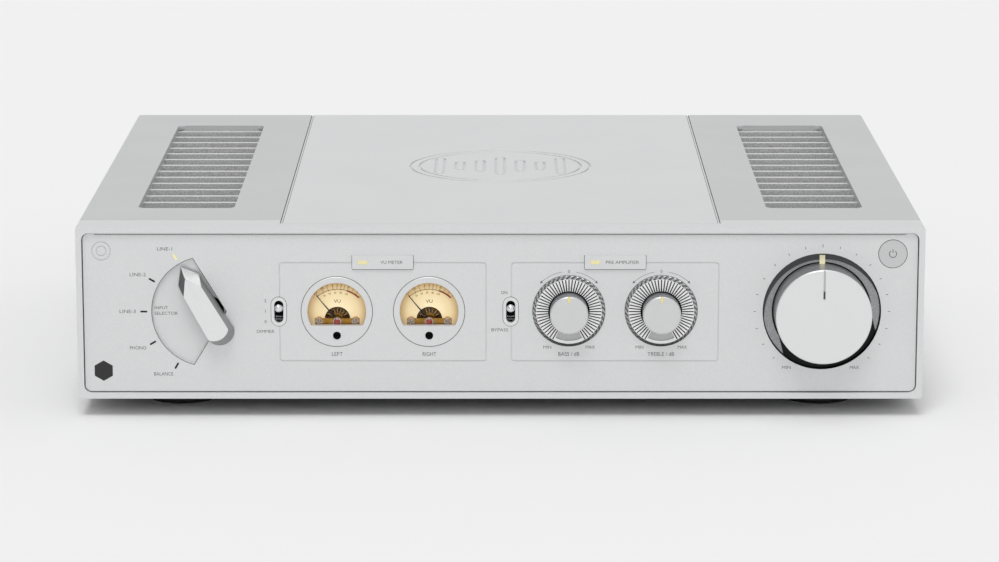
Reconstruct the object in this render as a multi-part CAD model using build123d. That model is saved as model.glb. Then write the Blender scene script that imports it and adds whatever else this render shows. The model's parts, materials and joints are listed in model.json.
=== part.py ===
from build123d import *
import os
from math import cos, radians, sin

# Integrated hi-fi amplifier in a full-width case, in millimetres.
# X runs to the right as seen from the front, Y from front to back, Z up.
# The origin is on the floor, under the middle of the whole object.
# Places on the object are given as x, as a distance behind the front rim, and as a
# height above the underside of the case.

# case
case_width = 430.0
case_height = 88.9
case_depth = 350.0
foot_height = 10.0
wall = 3.0                  # aluminium front frame, top plates and sides
steel = 1.5                 # folded steel tray, sub panel and rear panel
seam = 0.3                  # hairline between two case parts
edge_radius = 1.2
frame_depth = 20.0
centre_plate_start = 10.8   # the centre plate reaches in front of the wings
centre_plate_half = 110.5
groove_width = 1.5          # groove on each side of the centre plate
tongue_width = 1.0          # strip that stands up in the groove
tongue_drop = 0.5

# engraving on the centre plate
motif_behind = 178.0
motif_radius = 50.0
motif_line = 1.4
motif_step = 5.0
motif_depth = 0.8
motif_bar = 54.0
motif_bar_width = 6.0
motif_pitch = 11.0

# vents in the top
vent_inner = 138.0
vent_outer = 188.0
vent_front = 53.0
vent_back_margin = 38.0
vent_radius = 4.0
slat_pitch = 18.6
slat_thickness = 3.4
slat_height = 6.0
vent_border = 4.0

# front panel
panel_gap = 0.5
panel_recess = 2.0
panel_thickness = 5.0
panel_radius = 3.2
ledge_depth = 2.5
ledge_width = 2.6
line_width = 0.6
line_depth = 0.5
control_height = 45.0       # centre line of knobs, meters and toggles

# shafts and controls
shaft_radius = 3.0
running_gap = 0.05          # radial, between a shaft and its bearing
moving_gap = 0.4            # between a moving control and the panel round it
sub_panel_front = 24.0
bushing_radius = 4.6
bushing_length = 6.0
shaft_back = 36.0

volume_inset = 51.6         # from the side of the case
volume_radius = 24.3
volume_reach = 12.0         # in front of the rim
moat_radius = 30.1
moat_depth = 4.0
skirt_thickness = 1.2
undercut_width = 1.0        # groove round the foot of the volume knob
light_pipe_width = 2.8

tone_spread = 23.45
tone_middle = 58.3
tone_height = 45.4
tone_cap_radius = 9.7
tone_reach = 10.0
tone_cap_gap = 0.8          # between a tone control and its scale ring
scale_radius = 18.3
scale_face_radius = 16.5
scale_proud = 2.0
scale_marks = 51
scale_step = 6.0
scale_slot_width = 0.6
scale_slot_depth = 1.0
scale_floor_radius = 15.2   # plain sunk sector between the first and the last mark
scale_floor_depth = 0.7
scale_spigot = 12.4

selector_inset = 66.5
fan_radius = 28.6
fan_apex = 9.4
fan_angle = 58.8
fan_depth = 2.0
pocket_radius = 8.0         # half-round hole beside the selector shaft
selector_rest = 120.0
selector_step = 30.0
selector_count = 5
selector_reach = 7.3
tick_radius = 32.6
tick_length = 3.6
tick_width = 0.9

toggle_height = 15.0
toggle_width = 7.7
toggle_slot_height = 11.4
toggle_slot_width = 4.6
dimmer_x = -112.5
bypass_x = 5.3
ball_radius = 2.1
lever_pivot = 10.0
lever_rest = 12.0

power_inset = 16.1
power_height = 74.9
power_radius = 7.1
power_gap = 0.2
power_travel = 2.5

meter_middle = -59.6
meter_spread = 23.45
bezel_radius = 18.1
bezel_gap = 0.25
window_radius = 14.9
window_cut = 7.2
zero_drop = 12.4
zero_radius = 1.9
pivot_drop = 5.8
needle_length = 16.6
needle_rest = 129.7

frame_line_low = 19.1
frame_line_high = 70.7
meter_frame = (-112.3, -6.9)
tone_frame = (5.4, 111.1)
plate_width = 31.0
plate_height = 7.0
plate_thick = 1.2
lamp_width = 5.0
lamp_height = 1.9
lamp_offset = 10.1

dial_opening = 6.6
pin_radius = 0.6
bridge_half = 11.4
bridge_tall = 3.4
pillar_spread = 9.3
pillar_radius = 1.9

badge_inset = 12.9
badge_height = 76.5
badge_radius = 5.0
receiver_height = 14.2
receiver_flats = 9.2

# feet
foot_inset = 49.5
foot_front = 48.0
foot_radius = 20.0
pad_radius = 17.5
pad_thickness = 2.0
foot_hole = 6.0
foot_screw_radius = 2.0

# tray flanges, rails under the top and case screws
flange_height = 14.0
rail_half = 7.0
rail_height = 9.0
lower_screw_height = 7.0
screw_radius = 1.5
screw_hole = 1.55
screw_length = 6.0
screw_head_radius = 2.9
screw_head = 1.8

# rear connections
post_reach = 22.0
post_radius = 4.0
post_flange = 4.0
banana_radius = 2.05
banana_depth = 18.0
cap_radius = 8.0
jack_radius = 4.15
jack_length = 9.5
inlet_x = 165.0
inlet_height = 32.0
inlet_width = 27.0
inlet_tall = 20.0
inlet_flange_width = 50.0
inlet_flange_tall = 24.0
inlet_depth = 22.0
inlet_cavity = 17.0

# inside
toroid_x = -38.0
toroid_behind = 142.0
toroid_radius = 58.0
toroid_hole = 19.0
toroid_height = 50.0
board_thickness = 1.6
standoff_height = 8.0
sink_height = 68.0
sink_front = 80.0

# worked out
half_width = case_width / 2
rim_y = (volume_reach - case_depth - post_reach) / 2
panel_back = panel_recess + panel_thickness
panel_half = half_width - wall - panel_gap
inside_half = half_width - wall - moving_gap
volume_x = half_width - volume_inset
selector_x = -half_width + selector_inset
badge_x = -half_width + badge_inset
power_x = half_width - power_inset
tone_x = (tone_middle - tone_spread, tone_middle + tone_spread)
meter_x = (meter_middle - meter_spread, meter_middle + meter_spread)
vent_back = case_depth - vent_back_margin
sub_panel_back = sub_panel_front + steel
foot_x = half_width - foot_inset
foot_back = case_depth - foot_front
post_x = (14.0, 40.0, 74.0, 100.0)
post_height = 43.0
jack_columns = [-172.0 + 24.0 * i for i in range(5)]
jack_rows = (30.0, 50.0)
rear_front = case_depth - steel
upper_screw_height = case_height - wall - rail_height / 2
lower_screw_x = [share * half_width for share in (-0.93, -0.3, 0.3, 0.93)]
foot_head_low = pad_thickness + 1.8 - foot_height
bezel_back = panel_recess + 3.0
lens_front = panel_recess + 1.4
dial_front = panel_back + 3.0
bridge_front = panel_back - 1.0
needle_front = bridge_front + 1.9
cup_back = sub_panel_front - 0.5
amplifier_board_area = (28.0, 122.0, 95.0, case_depth - 30)
preamp_board_area = (-128.0, 4.0, case_depth - 95, case_depth - 16)
sink_inner = vent_inner - vent_border
sink_outer = half_width - wall - 16.0
sink_back = foot_back - 12.0


# drawing helpers
def spot(x, height):
    return Pos(x, foot_height + height)


def front_slab(outline, front, back):
    """Outline as seen from the front, made solid between two distances behind the rim."""
    plane = Plane(origin=(0, rim_y + back, 0), x_dir=(1, 0, 0), z_dir=(0, -1, 0))
    return extrude(plane * outline, amount=back - front)


def rod(x, height, radius, front, back):
    return front_slab(spot(x, height) * Circle(radius), front, back)


def block(left, right, front, back, low, high):
    middle = Pos((left + right) / 2, rim_y + (front + back) / 2, foot_height + (low + high) / 2)
    return middle * Box(right - left, back - front, high - low)


def post(x, behind, radius, low, high):
    """Upright cylinder between two heights."""
    return Pos(x, rim_y + behind, foot_height + (low + high) / 2) * Cylinder(radius, high - low)


def group(solids):
    return Compound(children=list(solids))


def around(x, height, radius, angle):
    """Place at a radius and angle round a front control, turned to face along the radius."""
    turn = radians(angle)
    return spot(x + radius * cos(turn), height + radius * sin(turn)) * Rot(0, 0, angle)


# case
def front_frame():
    outer = spot(0, case_height / 2) * RectangleRounded(case_width, case_height, edge_radius)
    opening = RectangleRounded(case_width - 2 * wall, case_height - 2 * wall, panel_radius + panel_gap)
    lip = RectangleRounded(
        case_width - 2 * wall - 2 * ledge_width, case_height - 2 * wall - 2 * ledge_width, panel_radius)
    ring = front_slab(outer, 0, frame_depth) - front_slab(spot(0, case_height / 2) * opening, 0, frame_depth)
    ledge = front_slab(spot(0, case_height / 2) * (opening - lip), panel_back, panel_back + ledge_depth)
    notch_half = centre_plate_half + groove_width
    notch = block(-notch_half, notch_half, centre_plate_start, frame_depth + 1,
                  case_height - wall - 0.5, case_height + 1)
    return ring + ledge - notch


def top_plate():
    plate = block(-centre_plate_half, centre_plate_half, centre_plate_start + seam, case_depth,
                  case_height - wall, case_height)
    return plate - motif()


def motif():
    """Engraved ring round seven rounded bars, like a level display."""
    middle = Pos(0, rim_y + motif_behind, foot_height + case_height - motif_depth)
    lines = Circle(motif_radius) - Circle(motif_radius - motif_line)
    lines += Circle(motif_radius - motif_step) - Circle(motif_radius - motif_step - motif_line)
    for i in range(-3, 4):
        length = motif_bar * (0.45 + 0.55 * cos(radians(52 * i)) ** 2)
        bar = SlotOverall(length, motif_bar_width, rotation=90)
        core = SlotOverall(length - 2 * motif_line, motif_bar_width - 2 * motif_line, rotation=90)
        lines += Pos(i * motif_pitch, 0) * (bar - core)
    return middle * extrude(lines, amount=motif_depth + 1)


def vent_outline(margin):
    width = vent_outer - vent_inner + 2 * margin
    length = vent_back - vent_front + 2 * margin
    return RectangleRounded(width, length, vent_radius)


def vent_hole(side, margin, low, high):
    middle_x = side * (vent_inner + vent_outer) / 2
    middle = Pos(middle_x, rim_y + (vent_front + vent_back) / 2, foot_height + low)
    return middle * extrude(vent_outline(margin), amount=high - low)


def wing(side):
    """Top and side of one half of the case, an L section with the vent cut through its top."""
    inner = centre_plate_half + groove_width
    front = frame_depth + seam
    top = block(inner, half_width, front, case_depth, case_height - wall, case_height)
    side_wall = block(half_width - wall, half_width, front, case_depth, 0, case_height)
    shell = top + side_wall
    corner = shell.edges().filter_by(Axis.Y).sort_by(lambda e: e.center().X + e.center().Z)[-1]
    shell = fillet(corner, edge_radius)
    if side < 0:
        shell = mirror(shell, about=Plane.YZ)
    return shell - vent_hole(side, 0, case_height - wall - 1, case_height + 1)


def vent_grille(side):
    """Border under the vent with cross slats along its length."""
    high = case_height - wall
    low = high - slat_height
    grille = vent_hole(side, vent_border, low, high) - vent_hole(side, 0, low - 1, high + 1)
    count = int((vent_back - vent_front) / slat_pitch) + 1
    first = vent_front + 13.4
    left, right = sorted((side * (vent_inner - 1), side * (vent_outer + 1)))
    for i in range(count):
        middle = first + i * slat_pitch
        if middle + slat_thickness / 2 < vent_back:
            grille += block(left, right, middle - slat_thickness / 2, middle + slat_thickness / 2, low, high)
    return grille


def top_rails():
    """Bars that carry the edges of the centre plate and the wings, each with a strip in the groove."""
    rails = []
    for side in (-1, 1):
        middle = side * (centre_plate_half + groove_width / 2)
        rail = block(middle - rail_half, middle + rail_half, sub_panel_back, rear_front,
                     case_height - wall - rail_height, case_height - wall)
        rail += block(middle - tongue_width / 2, middle + tongue_width / 2, centre_plate_start + seam, rear_front,
                      case_height - wall - 0.5, case_height - tongue_drop)
        rails.append(rail - rod(middle, upper_screw_height, screw_hole, rear_front - screw_length, rear_front + 1))
    return group(rails)


def bottom_tray():
    front = frame_depth + seam
    tray = block(-inside_half, inside_half, front, rear_front, 0, steel)
    tray += block(-inside_half, inside_half, sub_panel_back, sub_panel_back + steel, 0, flange_height)
    tray += block(-inside_half, inside_half, rear_front - steel, rear_front, 0, flange_height)
    for side in (-1, 1):
        left, right = sorted((side * inside_half, side * (inside_half - steel)))
        tray += block(left, right, sub_panel_back, rear_front, 0, flange_height)
    for x in lower_screw_x:
        tray -= rod(x, lower_screw_height, screw_hole, rear_front - steel - 1, rear_front + 1)
    for x, behind in foot_places():
        tray -= post(x, behind, foot_screw_radius + 0.1, -1, steel + 1)
    return tray


def foot_places():
    return [(x, behind) for x in (-foot_x, foot_x) for behind in (foot_front, foot_back)]


def rear_panel():
    panel = block(-inside_half, inside_half, rear_front, case_depth, steel, case_height - wall)
    for x in lower_screw_x:
        panel -= rod(x, lower_screw_height, screw_hole, rear_front - 1, case_depth + 1)
    for side in (-1, 1):
        middle = side * (centre_plate_half + groove_width / 2)
        panel -= rod(middle, upper_screw_height, screw_hole, rear_front - 1, case_depth + 1)
    for x in post_x:
        panel -= rod(x, post_height, post_radius + 1, rear_front - 1, case_depth + 1)
    for x in jack_columns:
        for height in jack_rows:
            panel -= rod(x, height, jack_radius + 0.5, rear_front - 1, case_depth + 1)
    hole = spot(inlet_x, inlet_height) * RectangleRounded(inlet_width + 0.3, inlet_tall + 0.3, 2)
    return panel - front_slab(hole, rear_front - 1, case_depth + 1)


def sub_panel():
    plate = block(-inside_half, inside_half, sub_panel_front, sub_panel_back, steel, case_height - wall - 0.5)
    for x, height in control_axes():
        plate -= rod(x, height, bushing_radius + 0.1, sub_panel_front - 1, sub_panel_back + 1)
    return plate


def control_axes():
    return [(volume_x, control_height), (selector_x, control_height)] + [(x, tone_height) for x in tone_x]


def case_screws():
    """Rear panel screws and the four screws that hold the feet."""
    screws = []
    rail_x = centre_plate_half + groove_width / 2
    places = [(x, lower_screw_height) for x in lower_screw_x]
    places += [(-rail_x, upper_screw_height), (rail_x, upper_screw_height)]
    for x, height in places:
        head = rod(x, height, screw_head_radius, case_depth, case_depth + screw_head)
        head = fillet(head.edges().sort_by(Axis.Y)[-1], 0.8)
        socket = spot(x, height) * RegularPolygon(1.1, 6)
        shank = rod(x, height, screw_radius, case_depth - screw_length, case_depth)
        screws.append(head + shank - front_slab(socket, case_depth + 0.8, case_depth + 3))
    for x, behind in foot_places():
        head = post(x, behind, foot_hole - 2, foot_head_low, foot_head_low + 2.2)
        shank = post(x, behind, foot_screw_radius, foot_head_low, steel + 4)
        socket = Pos(x, rim_y + behind, foot_height + foot_head_low - 1) * extrude(RegularPolygon(1.7, 6), amount=2.2)
        screws.append(head + shank - socket)
    return group(screws)


def feet():
    """Turned feet, each with a recess for its pad and a hole for its screw."""
    made = []
    for x, behind in foot_places():
        foot = post(x, behind, foot_radius, pad_thickness - foot_height - 0.8, 0)
        foot = chamfer(foot.edges().sort_by(Axis.Z)[0], 1.0)
        foot -= post(x, behind, pad_radius + 0.1, -foot_height - 1, pad_thickness - foot_height)
        foot -= post(x, behind, foot_hole, -foot_height - 1, foot_head_low + 2.2)
        made.append(foot - post(x, behind, foot_screw_radius + 0.1, -foot_height, 1))
    return group(made)


def foot_pads():
    made = []
    for x, behind in foot_places():
        pad = post(x, behind, pad_radius, -foot_height, pad_thickness - foot_height)
        made.append(pad - post(x, behind, foot_hole, -foot_height - 1, 0))
    return group(made)


# front panel
def selector_fan():
    """Round the left of the selector, closed by two lines that meet at a rounded point on the right."""
    reach = 2 * fan_radius
    turn = radians(180 - fan_angle)
    high = reach * sin(turn)
    wedge = Polygon(
        (fan_apex, 0), (fan_apex + reach * cos(turn), high), (-reach, high),
        (-reach, -high), (fan_apex + reach * cos(turn), -high), align=None)
    fan = Circle(fan_radius) & wedge
    fan = fillet(fan.vertices().sort_by(Axis.X)[-1], 1.3)
    return spot(selector_x, control_height) * fan


def selector_pocket():
    """Half of a round hole, on the side of the bar away from the input names."""
    half = Circle(pocket_radius) & Pos(0, -pocket_radius) * Rectangle(4 * pocket_radius, 2 * pocket_radius)
    return around(selector_x, control_height, 0, selector_rest) * half


def frame_line(left, right):
    width = right - left
    height = frame_line_high - frame_line_low
    line = RectangleRounded(width, height, 1.8) - RectangleRounded(
        width - 2 * line_width, height - 2 * line_width, 1.8 - line_width)
    return spot((left + right) / 2, (frame_line_low + frame_line_high) / 2) * line


def badge():
    """Two engraved rings with a bar between them."""
    mark = Circle(badge_radius) - Circle(badge_radius - line_width)
    mark += Circle(0.55 * badge_radius) - Circle(0.55 * badge_radius - line_width)
    return spot(badge_x, badge_height) * mark


def tick_slot(index, margin):
    angle = selector_rest + index * selector_step
    outline = SlotOverall(tick_length + 2 * margin, tick_width + 2 * margin)
    return around(selector_x, control_height, tick_radius, angle) * outline


def front_panel():
    outline = spot(0, case_height / 2) * RectangleRounded(
        2 * panel_half, case_height - 2 * wall - 2 * panel_gap, panel_radius)
    panel = front_slab(outline, panel_recess, panel_back)
    front = panel_recess - 1
    back = panel_back + 1
    panel -= front_slab(selector_fan(), front, panel_recess + fan_depth)
    panel -= rod(selector_x, control_height, shaft_radius + moving_gap, front, back)
    panel -= front_slab(selector_pocket(), front, back)
    for i in range(selector_count):
        panel -= front_slab(tick_slot(i, 0.02), front, back)
    for left, right in (meter_frame, tone_frame):
        panel -= front_slab(frame_line(left, right), front, panel_recess + line_depth)
    panel -= front_slab(badge(), front, panel_recess + line_depth)
    for x in meter_x:
        panel -= rod(x, control_height, bezel_radius, front, back)
        panel -= rod(x, control_height, bezel_radius + bezel_gap, front, panel_recess + 1.2)
    for x in tone_x:
        panel -= rod(x, tone_height, scale_spigot, front, back)
    for x in (dimmer_x, bypass_x):
        hole = spot(x, control_height) * SlotOverall(toggle_height + 0.1, toggle_width + 0.1, rotation=90)
        panel -= front_slab(hole, front, back)
    moat = rod(volume_x, control_height, moat_radius, front, panel_recess + moat_depth)
    panel -= moat
    panel -= rod(volume_x, control_height, shaft_radius + moving_gap, front, back)
    panel -= rod(power_x, power_height, power_radius + power_gap, front, back)
    return panel - front_slab(receiver_outline(), front, back)


def receiver_outline():
    return spot(badge_x, receiver_height) * RegularPolygon(receiver_flats / 2, 6, major_radius=False, rotation=30)


def ir_window():
    return front_slab(receiver_outline(), panel_recess - 0.1, panel_back + 1)


def selector_windows():
    """Light pipes that show the chosen input."""
    return group(front_slab(tick_slot(i, 0), panel_recess - 0.1, panel_back + 1.5) for i in range(selector_count))


def plate_centres():
    return (meter_middle, tone_middle)


def label_plates():
    """Small plates over the tops of the two frame lines."""
    plates = []
    middle_height = frame_line_high
    for x, side in zip(plate_centres(), (-1, -1)):
        outline = spot(x, middle_height) * RectangleRounded(plate_width, plate_height, 0.8)
        lamp = spot(x + side * lamp_offset, middle_height) * RectangleRounded(lamp_width, lamp_height, 0.4)
        plates.append(front_slab(outline - lamp, panel_recess - plate_thick, panel_recess))
    return group(plates)


def lamp_windows():
    windows = []
    for x in plate_centres():
        outline = spot(x - lamp_offset, frame_line_high) * RectangleRounded(lamp_width, lamp_height, 0.4)
        windows.append(front_slab(outline, panel_recess - plate_thick - 0.2, panel_recess))
    return group(windows)


# volume
def volume_knob():
    """Machined disc with a thin skirt that turns in the round recess."""
    floor = panel_recess + moat_depth
    skirt_back = floor - moving_gap
    skirt_front = skirt_back - skirt_thickness
    disc = rod(volume_x, control_height, volume_radius, -volume_reach, skirt_back)
    disc = chamfer(disc.edges().sort_by(Axis.Y)[0], 0.5)
    knob = disc + rod(volume_x, control_height, moat_radius - moving_gap - 0.2, skirt_front, skirt_back)
    undercut = rod(volume_x, control_height, volume_radius + undercut_width, skirt_front - 1, skirt_front + 0.6)
    knob -= undercut - rod(volume_x, control_height, volume_radius, skirt_front - 2, skirt_front + 1)
    knob -= light_pipe(1.0, skirt_back + 1)
    pointer = Pos(volume_x, foot_height + control_height + (9.1 + volume_radius) / 2) * Rectangle(
        1.1, volume_radius - 9.1 + 0.6)
    knob -= front_slab(pointer, -volume_reach - 1, -volume_reach + 0.4)
    return knob - rod(volume_x, control_height, shaft_radius + 0.02, -volume_reach + 4, skirt_back + 1)


def light_pipe(front, back):
    low = foot_height + control_height + volume_radius
    length = moat_radius - moving_gap - 0.8 - volume_radius
    outline = Pos(volume_x, low + length / 2) * Rectangle(light_pipe_width, length)
    return front_slab(outline, front, back)


def volume_light_pipe():
    skirt_back = panel_recess + moat_depth - moving_gap
    return light_pipe(skirt_back - skirt_thickness - 0.1, skirt_back)


def shaft(x, height, front):
    return rod(x, height, shaft_radius, front, shaft_back)


def control_body(x, height, half, back):
    """Potentiometer or switch body behind the sub panel, with its bushing through it."""
    body = block(x - half, x + half, sub_panel_back, back, height - half, height + half)
    body += rod(x, height, bushing_radius, sub_panel_front - bushing_length, sub_panel_back + 1)
    return body - rod(x, height, shaft_radius + running_gap, 0, shaft_back + 0.5)


def volume_pot():
    """Motor driven potentiometer: body, then gearbox and motor in line behind it."""
    pot = control_body(volume_x, control_height, 13.5, 50)
    pot += rod(volume_x, control_height, 10, 50, 74)
    return pot


# tone controls
def tone_knob(x):
    cap = rod(x, tone_height, tone_cap_radius, -tone_reach, panel_recess + 2)
    cap = chamfer(cap.edges().sort_by(Axis.Y)[0], 0.6)
    pointer = Pos(x, foot_height + tone_height + tone_cap_radius - 1.4) * Rectangle(1.2, 3.4)
    cap -= front_slab(pointer, -tone_reach - 1, -tone_reach + 0.6)
    return cap - rod(x, tone_height, shaft_radius + 0.02, -tone_reach + 4, panel_recess + 3)


def tone_scale_rings():
    """Dished rings with radial marks, seated in the panel by a short spigot."""
    rings = []
    for x in tone_x:
        face = panel_recess - scale_proud
        ring = rod(x, tone_height, scale_radius, face, panel_recess)
        rim = ring.edges().filter_by(GeomType.CIRCLE).sort_by(Axis.Y)[0]
        ring = chamfer(rim, scale_radius - scale_face_radius - 0.2)
        ring += rod(x, tone_height, scale_spigot, panel_recess, panel_recess + 2)
        marks = Sketch()
        hole = tone_cap_radius + tone_cap_gap
        slot_length = scale_face_radius - hole + 0.2
        for i in range(scale_marks):
            angle = 90 + (i - (scale_marks - 1) / 2) * scale_step
            marks += around(x, tone_height, scale_face_radius - slot_length / 2, angle) * Rectangle(
                slot_length, scale_slot_width)
        ring -= front_slab(marks, face - 1, face + scale_slot_depth)
        low = Polygon((0, 0), (-0.5 * scale_radius, -scale_radius), (0.5 * scale_radius, -scale_radius), align=None)
        sector = spot(x, tone_height) * (Circle(scale_floor_radius) & low)
        ring -= front_slab(sector, face - 1, face + scale_floor_depth)
        rings.append(ring - rod(x, tone_height, hole, face - 1, panel_recess + 3))
    return group(rings)


def tone_pots():
    return group(control_body(x, tone_height, 10.0, 40) for x in tone_x)


# input selector
def bar_outline(half, neck, nose, shoulder, corner, heel):
    """Bar that narrows to a pointed nose along +X, with a rounded heel."""
    edges = [
        Line((-corner, -half), (shoulder, -neck)), Line((shoulder, -neck), (nose, 0)),
        Line((nose, 0), (shoulder, neck)), Line((shoulder, neck), (-corner, half)),
        ThreePointArc((-corner, half), (-heel, 0), (-corner, -half))]
    return make_face(Curve() + edges)


def selector_knob():
    """Tapered bar knob: wide foot, narrower flat top, sloped nose and heel."""
    low = bar_outline(7.2, 6.1, 26.9, 19.2, 14.0, 19.0)
    high = bar_outline(5.8, 5.2, 21.3, 14.0, 11.6, 14.3)
    height = panel_recess - moving_gap + selector_reach
    body = loft([low.face(), (Pos(0, 0, height) * high).face()], ruled=True)
    groove = Pos(13.5, 0, height - 0.4) * extrude(Rectangle(9.0, 1.0), amount=1)
    body -= groove
    body -= extrude(Circle(shaft_radius + 0.02), amount=height - 3)
    plane = Plane(
        origin=(selector_x, rim_y + panel_recess - moving_gap, foot_height + control_height),
        x_dir=(cos(radians(selector_rest)), 0, sin(radians(selector_rest))), z_dir=(0, -1, 0))
    return plane * body


# toggles
def toggle_escutcheons():
    made = []
    for x in (dimmer_x, bypass_x):
        outer = SlotOverall(toggle_height, toggle_width, rotation=90)
        slot = SlotOverall(toggle_slot_height, toggle_slot_width, rotation=90)
        made.append(front_slab(spot(x, control_height) * (outer - slot), panel_recess - 0.2, panel_back))
    return group(made)


def toggle_bodies():
    """Switch cases behind the panel, open in front where the lever swings."""
    made = []
    for x in (dimmer_x, bypass_x):
        body = block(x - 6.5, x + 6.5, panel_back, panel_back + 12,
                     control_height - 10, control_height + 10)
        slot = spot(x, control_height) * SlotOverall(toggle_slot_height, toggle_slot_width, rotation=90)
        made.append(body - front_slab(slot, panel_back - 1, panel_back + 8))
    return group(made)


def toggle_lever(x):
    """Tapered lever with a ball at its tip, on a cross pin that turns in the switch case."""
    reach = lever_pivot - 1.0
    stem = Pos(0, 0, reach / 2) * Cone(1.5, 1.1, reach)
    lever = stem + Pos(0, 0, reach) * Sphere(ball_radius) + Sphere(2.0)
    tilt = Pos(x, rim_y + lever_pivot, foot_height + control_height) * Rot(90 - lever_rest, 0, 0)
    return tilt * lever


# power button
def power_button():
    button = rod(power_x, power_height, power_radius, panel_recess - 0.1, panel_back + 1)
    return button + rod(power_x, power_height, 2.0, panel_back, panel_back + 10)


def power_switch():
    body = block(power_x - 6, power_x + 6, panel_back + 6, sub_panel_front, power_height - 6, power_height + 6)
    return body - rod(power_x, power_height, 2.0 + running_gap, panel_back, panel_back + 10 + power_travel + 0.5)


# level meters
def window_outline(x, margin):
    half_disc = Circle(window_radius + margin) - Pos(0, -window_cut - margin - 20) * Rectangle(60, 40)
    return spot(x, control_height) * half_disc


def meter_bezels():
    made = []
    for x in meter_x:
        bezel = rod(x, control_height, bezel_radius, panel_recess - 0.5, bezel_back)
        bezel = chamfer(bezel.edges().sort_by(Axis.Y)[0], 0.3)
        bezel -= front_slab(window_outline(x, 0), 0, bezel_back + 1)
        made.append(bezel - rod(x, control_height - zero_drop, zero_radius + running_gap, 0, bezel_back + 1))
    return group(made)


def meter_lenses():
    return group(front_slab(window_outline(x, -0.05), lens_front, lens_front + 1) for x in meter_x)


def zero_screw(x):
    screw = rod(x, control_height - zero_drop, zero_radius, panel_recess - 0.7, bezel_back + 0.8)
    slot = spot(x, control_height - zero_drop) * Rectangle(2 * zero_radius + 1, 0.6)
    return screw - front_slab(slot, 0, panel_recess - 0.2)


def meter_housings():
    made = []
    for x in meter_x:
        cup = rod(x, control_height, bezel_radius - 0.05, bezel_back, cup_back)
        made.append(cup - rod(x, control_height, bezel_radius - 1.2, bezel_back - 1, cup_back - 1.2))
    return group(made)


def meter_dials():
    """Printed plates with a round opening for the movement."""
    made = []
    for x in meter_x:
        dial = Circle(bezel_radius - 1.25) - Pos(0, -pivot_drop) * Circle(dial_opening)
        dial -= Pos(0, -20 - 9) * Rectangle(60, 40)
        made.append(front_slab(spot(x, control_height) * dial, dial_front, dial_front + 0.8))
    return group(made)


def meter_movements():
    """Moving-coil cans on the backs of the meter cups, and bridges that stand on the dials."""
    made = []
    for x in meter_x:
        height = control_height - pivot_drop
        bearing = rod(x, height, pin_radius + running_gap, 0, dial_front + 4)
        can = rod(x, height, dial_opening - 0.6, dial_front, cup_back - 1.2)
        bridge = front_slab(spot(x, height - 0.3) * Rectangle(2 * bridge_half, bridge_tall),
                            bridge_front, bridge_front + 1)
        for side in (-1, 1):
            bridge += rod(x + side * pillar_spread, height - 0.3, pillar_radius, bridge_front - 0.5, dial_front)
        bridge += rod(x, height, 2.1, bridge_front - 0.4, bridge_front + 1)
        made += [can - bearing, bridge - bearing]
    return group(made)


def needle(x):
    """Thin pointer with a hub, a short tail and the pin that it turns on."""
    height = control_height - pivot_drop
    blade = Polygon((-3.4, -0.45), (0, -0.5), (needle_length, -0.14), (needle_length, 0.14),
                    (0, 0.5), (-3.4, 0.45), align=None)
    flat = front_slab(spot(x, height) * Rot(0, 0, needle_rest) * blade, needle_front, needle_front + 0.3)
    hub = rod(x, height, 1.5, needle_front - 0.3, needle_front + 0.8)
    return flat + hub + rod(x, height, pin_radius, bridge_front, dial_front + 3.5)


# rear connections
def mains_inlet():
    """Three-pin appliance inlet, flange outside and body inside."""
    at = spot(inlet_x, inlet_height)
    inlet = front_slab(at * RectangleRounded(inlet_flange_width, inlet_flange_tall, 5),
                       case_depth, case_depth + 2.5)
    inlet += front_slab(at * RectangleRounded(inlet_width, inlet_tall, 1.8), case_depth - inlet_depth, case_depth + 1)
    cavity = chamfer(Rectangle(24.5, 16.5).vertices().group_by(Axis.Y)[-1], 4.0)
    inlet -= front_slab(at * cavity, case_depth + 2.5 - inlet_cavity, case_depth + 4)
    for x, height in ((-7, -2), (0, 2), (7, -2)):
        pin = spot(inlet_x + x, inlet_height + height) * Rectangle(2, 4)
        inlet += front_slab(pin, case_depth + 1.5 - inlet_cavity, case_depth - 3.0)
    return inlet


def binding_posts():
    """Insulating collar, threaded core and a bore down the middle for a plug."""
    made = []
    for x in post_x:
        item = rod(x, post_height, cap_radius + 1.2, case_depth, case_depth + post_flange)
        item += rod(x, post_height, post_radius, case_depth - 12, case_depth + post_reach - 1)
        item += rod(x, post_height, cap_radius, case_depth - 6, rear_front)
        item -= rod(x, post_height, banana_radius, case_depth + post_reach - 1 - banana_depth, case_depth + 40)
        made.append(item)
    return group(made)


def post_cap(x):
    """Ribbed clamping cap that turns on the core."""
    front = case_depth + post_flange + moving_gap
    cap = rod(x, post_height, cap_radius, front, case_depth + post_reach)
    cap = chamfer(cap.edges().sort_by(Axis.Y)[-1], 1.0)
    ribs = Sketch()
    for i in range(16):
        ribs += around(x, post_height, cap_radius + 0.3, i * 22.5) * Circle(0.7)
    cap -= front_slab(ribs, front + 2.5, case_depth + post_reach + 1)
    return cap - rod(x, post_height, post_radius + running_gap, front - 1, case_depth + post_reach + 1)


def rca_jacks():
    made = []
    for x in jack_columns:
        for height in jack_rows:
            jack = rod(x, height, 6.6, case_depth, case_depth + 2)
            jack += rod(x, height, jack_radius, case_depth - 8, case_depth + jack_length)
            made.append(jack - rod(x, height, 1.65, case_depth - 2, case_depth + jack_length + 1))
    return group(made)


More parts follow.
